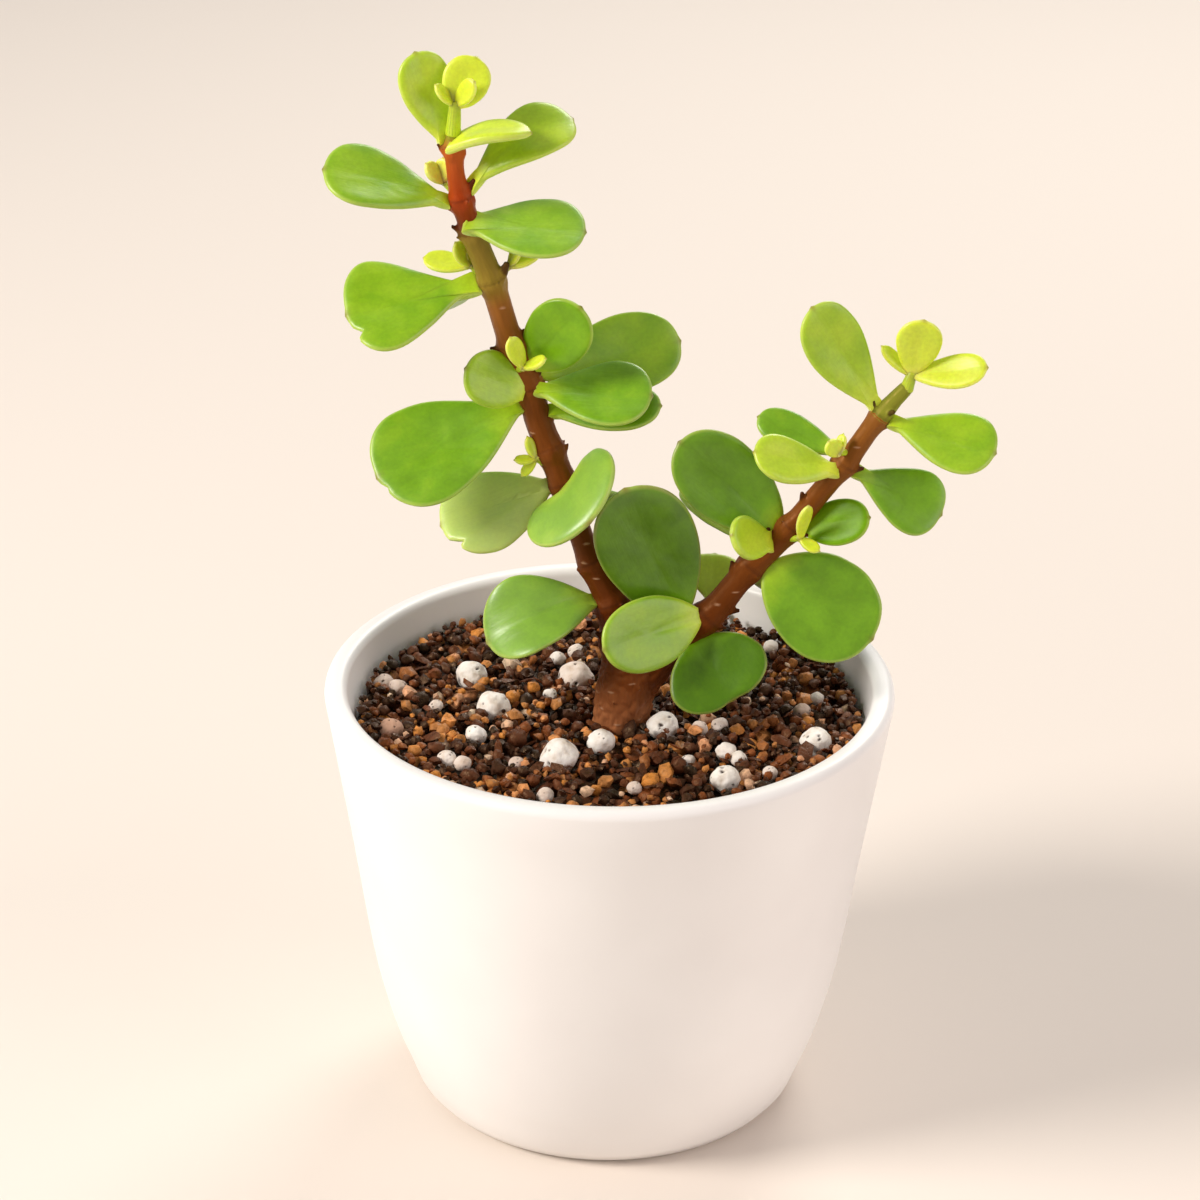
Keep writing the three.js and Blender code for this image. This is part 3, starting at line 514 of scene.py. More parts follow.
set_inputs(shader, {
    "Base Color": corky.outputs["Result"], "Roughness": gloss.outputs["Result"],
    "Normal": fleck_bump.outputs["Normal"], "Specular IOR Level": 0.45,
    "Specular Tint": linear("#e8b07c")})
print(bark.name, len(tree.nodes), "nodes")

# %% [markdown]
# A limb starts as a straight cylinder along its own height, cut into thin rings. Each ring is then
# carried to its place on the centre line and given the limb's thickness there. A bent tube could
# also be made from a curve, but the rings let us shape collars and give each point its height.

# %% A bent limb from a straight stick
STICK_SIDES = 32
RING_STEP = 0.4


def stick(limb):
    low, high = limb["heights"][0], limb["heights"][-1]
    nothing_selected()
    bpy.ops.mesh.primitive_cylinder_add(
        vertices=STICK_SIDES, radius=MM, depth=(high - low) * MM, location=(0, 0, (low + high) / 2 * MM))
    piece = bpy.context.object
    place_in_mesh(piece)
    edit_none("EDGE")
    corners = piece.data.vertices
    for edge in piece.data.edges:
        first, second = edge.vertices
        edge.select = abs(corners[first].co.z - corners[second].co.z) > MM
    bpy.ops.object.mode_set(mode="EDIT")
    bpy.ops.mesh.subdivide(number_cuts=int((high - low) / RING_STEP))
    bpy.ops.mesh.select_mode(type="VERT")
    bpy.ops.object.mode_set(mode="OBJECT")
    x, y, heights = points_of(piece.data).T / MM
    set_points(piece.data, skin_point(limb, heights, np.arctan2(y, x)) * MM)
    return piece


sticks = [stick(limb) for limb in LIMBS.values()]
print("sticks", [len(piece.data.vertices) for piece in sticks])

# %% [markdown]
# Where old leaves fell, each node keeps a pair of little pointed scales, and the next pair up is
# turned by a quarter. One cone is modelled, bevelled, and copied to every node. Longer dead stubs,
# where shoots dried off, are made from the same cone. Each is written down as the height on its
# limb, the angle round it in radians, from the left by way of the front, and the cone's growth.

# %% Scales at the nodes
SCALE_LENGTH = 2.1
SCALE_RADIUS = 0.58
SCALE_POINT = 0.2
SCALE_GROWTH = 0.65
SCALE_SEAT = -0.2
SCALE_RISE = 1.1
FIRST_SCALE_TURN = 0.5
DEAD_STUBS = {
    "left": [
        (71.2, 0.5, 1.3), (74.8, 2.9, 1.1), (97, 3.0, 1.1), (101.8, 3.0, 1.3), (106.4, 0.2, 1.4),
        (108.4, 2.9, 1.5), (113, 0.2, 1.5), (114.2, 3.2, 1.0), (123.2, 2.9, 1.9), (130.4, 0.1, 1.2),
        (133.6, 0.1, 1.4), (135.2, 3.0, 1.8), (141, 0.1, 1.2), (61.4, 1.2, 0.8), (63.6, 2.0, 0.7),
        (60.2, 0.6, 0.7), (62.4, 2.6, 0.8)],
    "right": [
        (71.6, 0.8, 1.6), (73.6, 2.6, 1.3), (75.4, 2.8, 1.4), (79.4, 0.1, 1.5), (84.2, 0.2, 1.7),
        (86.8, 2.7, 1.3), (90.2, 0.3, 1.4), (96.6, 2.6, 1.4), (103, 2.8, 1.3), (103.6, 0.2, 1.5),
        (104.4, 1.8, 1.4)]}


def cone_blank():
    nothing_selected()
    bpy.ops.mesh.primitive_cone_add(
        vertices=12, radius1=SCALE_RADIUS * MM, radius2=SCALE_POINT * MM, depth=SCALE_LENGTH * MM)
    edit_all()
    bpy.ops.mesh.bevel(offset=0.05 * MM, segments=2)
    bpy.ops.object.mode_set(mode="OBJECT")
    return bpy.context.object


def standing_at(place, aim):
    turn = Vector(aim).to_track_quat("Z", "Y").to_matrix().to_4x4()
    return Matrix.Translation(Vector(place) * MM) @ turn


def node_scale(limb, height, angle, growth=SCALE_GROWTH):
    seat = skin_point(limb, height, angle, SCALE_SEAT)
    centre, tangent = limb_at(limb, height)
    scale = new_object("scale", cone.data.copy())
    aim = unit(unit(seat - centre) + SCALE_RISE * tangent)
    scale.data.transform(standing_at(seat, aim) @ Matrix.Scale(growth, 4))
    return scale


cone = cone_blank()
scales = []
for side, limb in LIMBS.items():
    for i, node in enumerate(limb["nodes"]):
        turn = FIRST_SCALE_TURN + i * math.pi / 2
        scales += [node_scale(limb, node, turn), node_scale(limb, node, turn + math.pi)]
    scales += [node_scale(limb, *stub) for stub in DEAD_STUBS[side]]
bpy.data.objects.remove(cone)
print(len(scales), "scales and stubs")

# %% [markdown]
# The sticks and the scales are joined and remeshed into one skin, with a voxel of 0.19 mm. That
# fuses the fork and the foot of every scale as living wood does, with no seam, and a light smoothing
# rounds the joint. The finest relief is added after it, because a remesh would wipe it away.

# %% One living skin
VOXEL = 0.19

stems = joined(sticks + scales)
apply_modifier(stems, "REMESH", mode="VOXEL", voxel_size=VOXEL * MM)
apply_modifier(stems, "SMOOTH", factor=0.5, iterations=3)
print("skin of", len(stems.data.vertices), "points")

# %% [markdown]
# Each point of the skin now looks up the nearest place on a centre line. That gives its height, its
# angle round the limb and its age, from 0 at the soil to 1 at the tip. The collars are the thin rings
# just above each node. The lenticels are listed by the height and the angle at which they sit.

# %% Age, collars and cork
AGE_STOPS = {
    "left": [(56, 0), (63, 0.1), (72, 0.28), (100, 0.55), (118, 0.7), (123, 0.77), (129.5, 0.83),
             (131, 0.86), (134, 0.89), (141, 0.96), (143, 1)],
    "right": [(60, 0.1), (80, 0.5), (92, 0.62), (103.3, 0.7), (103.5, 1), (108, 1)]}
CORK_MARKS = {
    "left": [(58.6, 1.4), (60.2, 0.7), (59.4, 2.2), (62.6, 1.0), (64.5, 1.7), (61.9, 0.3),
             (79.5, 1.5), (81.9, 1.2), (84, 1.9), (88.2, 1.0), (101, 0.9), (119.2, 1.9)],
    "right": [(75.6, 1.2), (78, 1.7), (83.4, 1.1), (99, 1.3)]}
CORK_HEIGHT = 0.16
CORK_WIDTH = 0.6
COLLAR_ABOVE_NODE = 0.5
COLLAR_HEIGHT = 0.2
COLLAR_SHARE = 0.45
KNOB_SPREAD = 1.3
SCALE_PROUD = (0.2, 0.5)


def nearest_on_limbs(points):
    """For each point, in mm: whether the right limb is the nearer one, and its height label."""
    answers = []
    for limb in LIMBS.values():
        tree = KDTree(len(limb["centres"]))
        for i, centre in enumerate(limb["centres"]):
            tree.insert(centre, i)
        tree.balance()
        found = [tree.find(point)[1:] for point in points]
        heights = limb["heights"][[index for index, _ in found]]
        depth = np.array([gap for _, gap in found]) - limb_radius(limb, heights)
        answers.append((depth, heights))
    on_right = answers[1][0] < answers[0][0]
    return on_right, np.where(on_right, answers[1][1], answers[0][1])


def near_a_node(limb, heights, above, spread):
    return np.max([np.exp(-((heights - node - above) / spread) ** 2) for node in limb["nodes"]], axis=0)


skin = points_of(stems.data) / MM
normals = np.array([vertex.normal for vertex in stems.data.vertices])
on_right, heights = nearest_on_limbs(skin)
ages, collars, corks, knobs = np.zeros((4, len(skin)))
grains = np.zeros((len(skin), 3))
for chosen, side in ((~on_right, "left"), (on_right, "right")):
    limb, own_heights = LIMBS[side], heights[chosen]
    ages[chosen] = np.interp(own_heights, *zip(*AGE_STOPS[side]))
    from_centre = skin[chosen] - limb_at(limb, own_heights)[0]
    proud = np.linalg.norm(from_centre, axis=1) - limb_radius(limb, own_heights)
    knobs[chosen] = near_a_node(limb, own_heights, 0, KNOB_SPREAD)
    collars[chosen] = np.maximum(
        COLLAR_SHARE * near_a_node(limb, own_heights, COLLAR_ABOVE_NODE, COLLAR_HEIGHT),
        np.interp(proud, SCALE_PROUD, (0, 1)))
    grains[chosen] = np.column_stack([from_centre[:, :2], own_heights])
    for height, angle in CORK_MARKS[side]:
        gap = skin[chosen] - skin_point(limb, height, angle)
        level = np.hypot(gap[:, 2] / CORK_HEIGHT, np.hypot(gap[:, 0], gap[:, 1]) / CORK_WIDTH)
        corks[chosen] = np.maximum(corks[chosen], np.clip(1.6 * (1 - level), 0, 1))
print(int(on_right.sum()), "points on the right limb,", int((corks > 0).sum()), "on cork marks")

# %% [markdown]
# The relief is pushed in or out along the normals, by less than half a millimetre: fine streaks all
# the way up, knobs round the nodes, flaky bark at the foot alone, and the lenticels a little proud.
# It comes from noise that is stretched along the limb, as the grain of the wood is.

# %% Bark relief
FLAKY_BELOW = 74
FLAKY_FADE = 8
FLAKE_RELIEF = 0.42
STREAK_RELIEF = 0.04
KNOB_RELIEF = 0.28
CORK_RELIEF = 0.08


def stretched_noise(point, across, along):
    x, y, height = point
    return noise.noise((across * x, across * y, along * height))


relief = CORK_RELIEF * corks
for i, point in enumerate(grains):
    streak = stretched_noise(point, 2.2, 0.3) + 0.5 * stretched_noise(point, 5, 0.8)
    flaky = max(0, min(1, (FLAKY_BELOW - point[2]) / FLAKY_FADE))
    flake = abs(stretched_noise(point, 0.9, 0.7)) - 0.25
    knob = knobs[i] * stretched_noise(point, 0.7, 0.6)
    relief[i] += STREAK_RELIEF * streak + FLAKE_RELIEF * flaky * flake + KNOB_RELIEF * knob
set_points(stems.data, (skin + relief[:, None] * normals) * MM)
paint(stems.data, "age", ages)
paint(stems.data, "collar", 0.85 * collars)
paint(stems.data, "cork", corks)
paint(stems.data, "limb_grain", grains, "FLOAT_VECTOR")
finish_piece(stems, "forked_stem", bark, ["trunk_and_stems"], smooth_below=80)

# %% [markdown]
# Jade leaves store water. Each one is a thick, egg-shaped blade, almost round on young growth, that
# narrows to a short, fleshy stalk. It is about 1.7 mm thick with a full, rounded edge, and it ends in
# a tiny brown point. One blank is modelled: a sphere, flattened in edit mode, whose rings will become
# the rings of the blade. Every leaf is a copy of the blank whose points are then carried to its own
# shape.

# %% The blank of a leaf
BLANK_FLATNESS = 0.2


def leaf_blank(sides, rings):
    nothing_selected()
    bpy.ops.mesh.primitive_uv_sphere_add(segments=sides, ring_count=rings, radius=1)
    edit_all()
    bpy.ops.transform.resize(value=(1, 1, BLANK_FLATNESS))
    bpy.ops.mesh.remove_doubles(threshold=1e-5)
    bpy.ops.mesh.normals_make_consistent(inside=False)
    bpy.ops.object.mode_set(mode="OBJECT")
    return bpy.context.object


full_blank = leaf_blank(72, 24)
young_blank = leaf_blank(36, 14)
print("blank", len(full_blank.data.polygons), "faces; young blank", len(young_blank.data.polygons))

# %% [markdown]
# The blade's outline is one formula: a wedge at the base times a round shoulder at the tip. A low
# wedge number gives the round leaves, a high one the leaves with a long narrow base. Across its
# thickness the blade stays full almost to the edge and then rounds off quickly.
#
# The blade then gets its place: base to tip is a straight chord, the face says which way its upper
# side looks, curl lets the middle sag below the chord, and fold lifts the two edges. A notch cuts
# into the tip, and a bow swings the two halves back round the base, as the lobes of a kidney. Hang
# bends down one side of the blade, beyond a ridge that runs out from the base: the slope of the
# ridge, then that of the side. Bites are small dents in the far edge, each with its place across the
# blade, its depth and its spread. A crease is the groove that runs out from the stalk on the upper
# side. Beside its places, the blade gives back the marks that the leaf's material reads.

# %% The shape of a blade
BLADE_CENTRE = 0.56
SHOULDER = 0.46
STALK_HALF_WIDTH = 1.05
LEAF_THICKNESS = 1.7
RIM_WAVES = 0.03
DENT_RELIEF = 0.15
POINT_LENGTH = 0.25


def half_outline(u, wedge):
    widest = wedge / (wedge + SHOULDER)
    peak = widest ** wedge * (1 - widest) ** SHOULDER
    return u ** wedge * (1 - u) ** SHOULDER / peak


def blade(blank, base, tip, width, face, seed, curl=0.04, fold=0.12, notch=0.0, bow=0.0, hang=(0, 0),
          wedge=0.95, thickness=LEAF_THICKNESS, stalk=STALK_HALF_WIDTH, bites=(), crease=0.12):
    x, y, z = points_of(blank.data).T
    reach = np.minimum(np.hypot(x, y), 1)
    turn = np.arctan2(y, x)
    rim_u = (1 + np.cos(turn)) / 2
    waves = np.array([noise.noise((2 * math.cos(t), 2 * math.sin(t), 7.3 * seed)) for t in turn])
    rim_v = np.hypot(half_outline(rim_u, wedge), stalk / (width / 2) * (1 - rim_u) ** 6)
    rim_v *= np.sign(np.round(np.sin(turn), 6)) * (1 + RIM_WAVES * waves)
    u = BLADE_CENTRE + reach * (rim_u - BLADE_CENTRE)
    v = reach * rim_v
    flat_u = u.copy()
    for place, depth, spread in bites:
        u -= depth * np.exp(-((v - place) / spread) ** 2) * flat_u ** 4
    u -= notch * np.exp(-(v / 0.3) ** 2) * flat_u ** 6
    level = np.sign(np.round(z, 6)) * (1 - reach ** 6) ** 0.42

    chord = np.asarray(tip) - base
    length = np.linalg.norm(chord)
    ahead = chord / length
    normal = unit(np.asarray(face) - np.dot(face, ahead) * ahead)
    side = np.cross(normal, ahead)
    along, across, swing = length * u, width / 2 * v, bow * v
    point_at_tip = np.exp(-(turn / 0.05) ** 2) * reach ** 24
    lift = width / 2 * fold * np.abs(v) ** 1.5 - length * curl * 4 * u * (1 - u)
    lift -= hang[1] * np.maximum(0, across - hang[0] * along)
    dents = np.array([
        noise.noise((a / 6, b / 3, 3.1 * seed)) + 0.4 * noise.noise((a / 1.8, b / 0.9, 3.1 * seed + 9))
        for a, b in zip(along, across)])
    groove = crease * np.exp(-(v / 0.12) ** 2) * np.clip(1 - u, 0, 1) * (level > 0)
    swelling = thickness / 2 * (1 - 0.15 * u)
    relief = DENT_RELIEF * dents * (1 - 0.5 * reach ** 8) - groove
    height = lift + swelling * level + width / 12 * relief
    ahead_by = along * np.cos(swing) - across * np.sin(swing) + POINT_LENGTH * point_at_tip
    aside_by = along * np.sin(swing) + across * np.cos(swing)
    places = (np.asarray(base) + np.outer(ahead_by, ahead) + np.outer(aside_by, side)
              + np.outer(height, normal))
    grain = np.column_stack([along, across, np.full(len(u), 10.0 * seed)])
    marks = dict(along=u, edge=reach, upper=(level > -0.2) * 1.0, tip_dot=0.7 * point_at_tip)
    return places, marks, grain


print("half width at mid leaf:", round(float(half_outline(0.5, 0.95)), 2))

# %% [markdown]
# The leaves of this plant, each written down: the limb and the height of the node that it
# grows from, the place of its tip, its width, and the way that its upper face looks. side is given
# where the stalk leaves the stem on another side than the one towards the tip. tone runs from 0, an
# old dark green leaf, to 1, a new one that is nearly yellow. On a few leaves that lie in shade it is
# set higher than their age gives, as painted light. Some also mix in a pale whitish green, partly
# the whitish wax dust that rubs off in time and partly a painted sheen. Some have less shine than
# the rest.

# %% The leaves
LEAVES = [
    dict(name="leaf_left_01", on="left", at=141.5, tip=(-26.5, 2, 153.2),
         width=7.4, face=(0.35, -0.85, 0.3), tone=0.75),
    dict(name="leaf_left_02", on="left", at=141.6, tip=(-11.2, -3.5, 144.3),
         width=5.8, face=(-0.15, -0.1, 0.97), side=(-0.6, -1, 0), wedge=0.42, curl=-0.08, stalk=2,
         tone=0.85),
    dict(name="leaf_left_03", on="left", at=135, tip=(-5.9, 4, 143.9),
         width=8.6, face=(-0.25, -0.65, 0.7), curl=-0.16, wedge=1.3, tone=0.62),
    dict(name="leaf_left_04", on="left", at=134, tip=(-38.5, -3, 138.8),
         width=10.5, face=(0, -0.5, 0.86), curl=-0.02, wedge=1.15, tone=0.38),
    dict(name="leaf_left_05", on="left", at=131.6, tip=(-4, -3, 130.6),
         width=11, face=(0.05, -0.42, 0.9), side=(-0.5, -1, 0), stalk=2.1,
         tone=0.36, wax_dust_and_sheen=0.05),
    dict(name="leaf_left_06", on="left", at=122.9, tip=(-35.9, -4, 118.8),
         width=15, face=(0, -0.55, 0.83), wedge=1.5, stalk=1.9, tone=0.4, bites=[(0.44, 0.07, 0.1)]),
    dict(name="leaf_left_07", on="left", at=109.8, tip=(-4.5, -3.5, 120.2),
         width=9.2, face=(0, -0.9, 0.4), wedge=0.6, tone=0.27, shine=0.5),
    dict(name="leaf_left_08", on="left", at=108, tip=(9.1, 9, 110.8),
         width=11, face=(0, -0.85, 0.5), side=(0.6, 1, 0), tone=0.42),
    dict(name="leaf_left_09", on="left", at=107.2, tip=(5.2, -3, 107.3),
         width=11, face=(0, -0.5, 0.86), side=(0.5, -1, 0), wedge=1.05, tone=0.3),
    dict(name="leaf_left_10", on="left", at=103, tip=(6.5, -1.5, 105.3),
         width=7, face=(0, -0.6, 0.8), tone=0.3),
    dict(name="leaf_left_11", on="left", at=106.8, tip=(-20, -4, 111.4),
         width=7.8, face=(0, -0.85, 0.5), side=(-0.4, -1, 0), wedge=0.65, tone=0.56),
    dict(name="leaf_left_12", on="left", at=104.8, tip=(-32, -5, 95.6),
         width=15.2, face=(-0.1, -0.7, 0.7), wedge=1.05, tone=0.29, bites=[(0.3, 0.035, 0.05)]),
    # A lighter tone and more whitish sheen than its age gives: painted light, lifting a leaf that lies in
    # the shade of leaf_left_12.
    dict(name="leaf_left_13", on="left", at=93.2, tip=(-23.6, 0.5, 86.2),
         width=12.2, face=(0, -0.5, 0.86), hang=(0.3, 0.6), wedge=0.85,
         tone=0.8, wax_dust_and_sheen=0.5, bites=[(0.62, 0.12, 0.09)]),
    dict(name="leaf_left_14", on="left", at=92.4, tip=(-3, -11.2, 92.1),
         width=9.4, face=(-0.66, -0.33, 0.68), side=(0.3, -1, 0), wedge=0.42, bow=0.74, curl=-0.04,
         tone=0.34, wax_dust_and_sheen=0.15),
    dict(name="leaf_left_15", on="left", at=76.4, tip=(-17, -5, 71.1),
         width=12, face=(0, -0.6, 0.8), curl=-0.15, fold=0.3, wedge=0.9,
         tone=0.27, wax_dust_and_sheen=0.12, crease=0.35),
    dict(name="leaf_right_01", on="right", at=71.4, tip=(1.7, -1.8, 93.3),
         width=14, face=(0, -0.93, 0.36), wedge=0.72, side=(-0.3, -0.2, 1), tone=0.08),
    dict(name="leaf_right_02", on="right", at=73.3, tip=(-0.9, -10.5, 73),
         width=10.2, face=(-0.1, -0.95, 0.3), wedge=0.62, tone=0.45, crease=0.35),
    dict(name="leaf_right_03", on="right", at=71.6, tip=(17.5, -8, 63.8),
         width=14.5, face=(0, -0.85, 0.5), wedge=0.6, notch=0.06, tone=0, shine=0.6),
    # Its tone runs past the end of the ramp: painted light, lifting a small leaf that sits in shade among
    # the others.
    dict(name="leaf_right_04", on="right", at=74.5, tip=(14.5, 8, 79.2),
         width=7.5, face=(0, -0.8, 0.6), tone=1.2, wax_dust_and_sheen=0.2),
    dict(name="leaf_right_05", on="right", at=81.8, tip=(36, -6, 73),
         width=14.5, face=(0, -0.92, 0.4), wedge=0.62, tone=0.22),
    dict(name="leaf_right_06", on="right", at=85.7, tip=(9, 3.5, 98),
         width=11.3, face=(0, -0.9, 0.42), wedge=0.6, side=(-0.6, 0.8, 0.6), tone=0.18),
    dict(name="leaf_right_07", on="right", at=84.3, tip=(16.2, -5, 88),
         width=6.2, face=(0, -0.8, 0.6), wedge=0.7, stalk=1.6, tone=0.7),
    dict(name="leaf_right_08", on="right", at=87.3, tip=(35, -2, 89.6),
         width=6.5, face=(0, -0.8, 0.6), wedge=0.6, side=(0.8, 0.2, -0.6), tone=0.25, shine=0.25),
    dict(name="leaf_right_09", on="right", at=96.2, tip=(44.8, -1, 89.7),
         width=9.2, face=(0.2, -0.85, 0.5), wedge=1.25, tone=0.25),
    dict(name="leaf_right_10", on="right", at=95.6, tip=(19, -3, 99.4),
         width=7.2, face=(0, -0.6, 0.8), side=(-0.3, -1, 0), tone=0.75),
    dict(name="leaf_right_11", on="right", at=96.8, tip=(19.8, 6.2, 100.8),
         width=5.4, face=(0, -0.7, 0.7), side=(-0.6, 0.8, 0.4), tone=0.28),
    dict(name="leaf_right_12", on="right", at=103.6, tip=(51.2, -4, 100.1),
         width=9.5, face=(0, -0.6, 0.8), wedge=1.15, tone=0.45),
    dict(name="leaf_right_13", on="right", at=104, tip=(26.1, -2, 119.8),
         width=8.6, face=(0.2, -0.85, 0.45), tone=0.6),
    dict(name="leaf_back_01", on="left", at=129.9, tip=(-9.5, 12, 124),
         width=8.5, face=(0.2, 0.5, 0.85), side=(0.3, 1, 0), tone=0.35),
    dict(name="leaf_back_02", on="left", at=123, tip=(-27, 10, 114.2),
         width=7, face=(-0.2, 0.5, 0.85), wedge=1.2, tone=0.35),
    dict(name="leaf_back_03", on="left", at=106, tip=(-22, 12, 95.5),
         width=9.5, face=(-0.2, 0.5, 0.85), tone=0.35),
    dict(name="leaf_back_04", on="left", at=92, tip=(-1.5, 14, 84.5),
         width=10, face=(0.1, 0.5, 0.85), tone=0.35),
    dict(name="leaf_back_05", on="right", at=83.2, tip=(10.5, 12.5, 87.5),
         width=10, face=(-0.2, 0.4, 0.9), side=(-0.3, 1, -0.3), tone=0.35),
    dict(name="leaf_back_06", on="right", at=80.2, tip=(28.5, 13, 70.5),
         width=9.5, face=(0.2, 0.5, 0.85), tone=0.3),
]
print(len(LEAVES), "leaves")

# %% [markdown]
# A jade leaf is a green that runs from dark to yellow with age, under a waxy skin that gives a broad
# soft highlight. It is full of water, so light goes into it and comes out again a millimetre or two
# further on: that is subsurface scattering, and it is what makes the edges glow. Its IOR is that of
# wax, 1.45.
#
# The edge line is painted from a share called edge, which is 0 in the middle of the blade and 1 on
# its rim: a pale line all round, a painted highlight and glow on the rounded edge, with short
# red-brown stretches of dry edge on old leaves. Cells just under the skin show as a fine mottling of
# about 0.5 mm, slower patches of 4 mm make the green uneven, and the skin has fine creases along the
# leaf, 0.5 mm apart, which break up its highlights. The green of the whole blade comes first, in a
# function of its own, and the rim, the gloss and the glow follow.

# %% Waxy jade leaf
def leaf_green(tree, tone, along, upper, wax_dust_and_sheen, patches, cells, stops):
    patch_shift = add_node(tree, "MapRange", {
        "Value": patches.outputs["Fac"], "From Min": 0.3, "From Max": 0.7, "To Min": -0.08, "To Max": 0.08})
    base_shift = add_node(tree, "MapRange", {
        "Value": along.outputs["Fac"], "From Min": 0.0, "From Max": 0.28, "To Min": 0.38, "To Max": 0.0})
    shifted = add_node(tree, "Math", {
        0: tone.outputs["Fac"], 1: patch_shift.outputs["Result"]}, operation="ADD")
    aged = add_node(tree, "Math", {0: shifted.outputs[0], 1: base_shift.outputs["Result"]}, operation="ADD")
    green = add_node(tree, "ValToRGB", {"Fac": aged.outputs[0]}, stops=stops)
    brightness = add_node(tree, "MapRange", {
        "Value": cells.outputs["Fac"], "From Min": 0.35, "From Max": 0.65, "To Min": 0.95, "To Max": 1.05})
    mottled = add_node(tree, "HueSaturation", {
        "Color": green.outputs["Color"], "Value": brightness.outputs["Result"]})
    paler = add_node(tree, "HueSaturation", {
        "Color": mottled.outputs["Color"], "Saturation": 0.85, "Value": 1.08})
    sided = add_node(tree, "Mix", {
        "Factor": upper.outputs["Fac"], "A": paler.outputs["Color"], "B": mottled.outputs["Color"]},
        data_type="RGBA")
    # Mix a pale whitish green into the blade: partly the wax dust of some leaves, partly a painted sheen
    # and painted light on leaves that lie in shade.
    return add_node(tree, "Mix", {
        "Factor": wax_dust_and_sheen.outputs["Fac"], "A": sided.outputs["Result"], "B": linear("#c4da98")},
        data_type="RGBA")


def leaf_material(name, stops, rim_highlight_colour, glow):
    material, tree, shader = new_material(name)
    tone, edge, along, upper, tip_dot, grain, wax_dust_and_sheen, shine = [
        add_node(tree, "Attribute", attribute_name=mark) for mark in (
            "tone", "edge", "along", "upper", "tip_dot", "leaf_grain", "wax_dust_and_sheen", "shine")]
    where = add_node(tree, "TexCoord")
    patches = add_node(tree, "TexNoise", {
        "Vector": where.outputs["Object"], "Scale": 1 / (4 * MM), "Detail": 2.0})
    cells = add_node(tree, "TexNoise", {
        "Vector": where.outputs["Object"], "Scale": 1 / (0.5 * MM), "Detail": 3.0})
    green = leaf_green(tree, tone, along, upper, wax_dust_and_sheen, patches, cells, stops)
    rim_line = add_node(tree, "MapRange", {
        "Value": edge.outputs["Fac"], "From Min": 0.94, "From Max": 0.99, "To Min": 0.0, "To Max": 0.4})
    # The pale line round the rim is a painted highlight and glow on the rounded edge.
    painted_rim_highlight = add_node(tree, "Mix", {
        "Factor": rim_line.outputs["Result"], "A": green.outputs["Result"], "B": linear(rim_highlight_colour)},
        data_type="RGBA")
    oldness = add_node(tree, "MapRange", {
        "Value": tone.outputs["Fac"], "From Min": 0.05, "From Max": 0.25, "To Min": 1.0, "To Max": 0.0})
    dry_patches = add_node(tree, "MapRange", {
        "Value": patches.outputs["Fac"], "From Min": 0.5, "From Max": 0.58, "To Min": 0.0, "To Max": 1.0})
    dry_edge = add_node(tree, "Math", {
        0: dry_patches.outputs["Result"], 1: rim_line.outputs["Result"]}, operation="MULTIPLY")
    dry_share = add_node(tree, "Math", {
        0: dry_edge.outputs[0], 1: oldness.outputs["Result"]}, operation="MULTIPLY")
    brown_share = add_node(tree, "Math", {
        0: dry_share.outputs[0], 1: tip_dot.outputs["Fac"]}, operation="MAXIMUM")
    rimmed = add_node(tree, "Mix", {
        "Factor": brown_share.outputs[0], "A": painted_rim_highlight.outputs["Result"], "B": linear("#7a4420")},
        data_type="RGBA")
    gloss = add_node(tree, "MapRange", {
        "Value": patches.outputs["Fac"], "From Min": 0.3, "From Max": 0.7, "To Min": 0.3, "To Max": 0.42})
    crease_space = add_node(tree, "Mapping", {"Vector": grain.outputs["Vector"], "Scale": (0.3, 1.8, 1)})
    creases = add_node(tree, "TexNoise", {
        "Vector": crease_space.outputs["Vector"], "Scale": 1.0, "Detail": 3.0, "Roughness": 0.6})
    crease_bump = add_node(tree, "Bump", {
        "Height": creases.outputs["Fac"], "Strength": 0.4, "Distance": 0.1 * MM})
    cell_bump = add_node(tree, "Bump", {
        "Height": cells.outputs["Fac"], "Strength": 0.18, "Distance": 0.05 * MM,
        "Normal": crease_bump.outputs["Normal"]})
    coat = add_node(tree, "Math", {0: shine.outputs["Fac"], 1: 0.35}, operation="MULTIPLY")
    specular = add_node(tree, "Math", {0: shine.outputs["Fac"], 1: 0.5}, operation="MULTIPLY")
    set_inputs(shader, {
        "Base Color": rimmed.outputs["Result"], "Roughness": gloss.outputs["Result"],
        "Normal": cell_bump.outputs["Normal"], "IOR": 1.45, "Coat Weight": coat.outputs[0],
        "Coat Roughness": 0.38, "Specular IOR Level": specular.outputs[0],
        "Subsurface Weight": glow, "Subsurface Radius": (0.7, 1.0, 0.2), "Subsurface Scale": 1.2 * MM})
    print(name, len(tree.nodes), "nodes")
    return material


# The third colour of each material is the painted highlight of its rim.
waxy_leaf = leaf_material(
    "waxy_jade_leaf", [(0.0, "#547e08"), (0.3, "#77a80e"), (0.6, "#a8cb1c"), (1.0, "#d8e63c")],
    "#cfd872", 0.3)
young_leaf = leaf_material(
    "translucent_young_leaf", [(0.0, "#aecb2a"), (0.5, "#d4e034"), (1.0, "#ecee6a")], "#f0ee98", 0.6)

# %% [markdown]
# Every leaf is now copied from the blank and carried to its place. Its stalk starts just inside the
# stem at its node, so it grows out of the bark with no gap. The cell prints how far each leaf's box
# is from the solid that it replaces.

# %% Leaves on their nodes
ROOT_DEPTH = 0.8
SHAPE_KEYS = ("width", "face", "curl", "fold", "notch", "bow", "hang", "wedge", "stalk", "bites", "crease")


def seat_on(limb, height, towards):
    centre, tangent = limb_at(limb, height)
    out = unit(towards - np.dot(towards, tangent) * tangent)
    return centre + ROOT_DEPTH * limb_radius(limb, height) * out


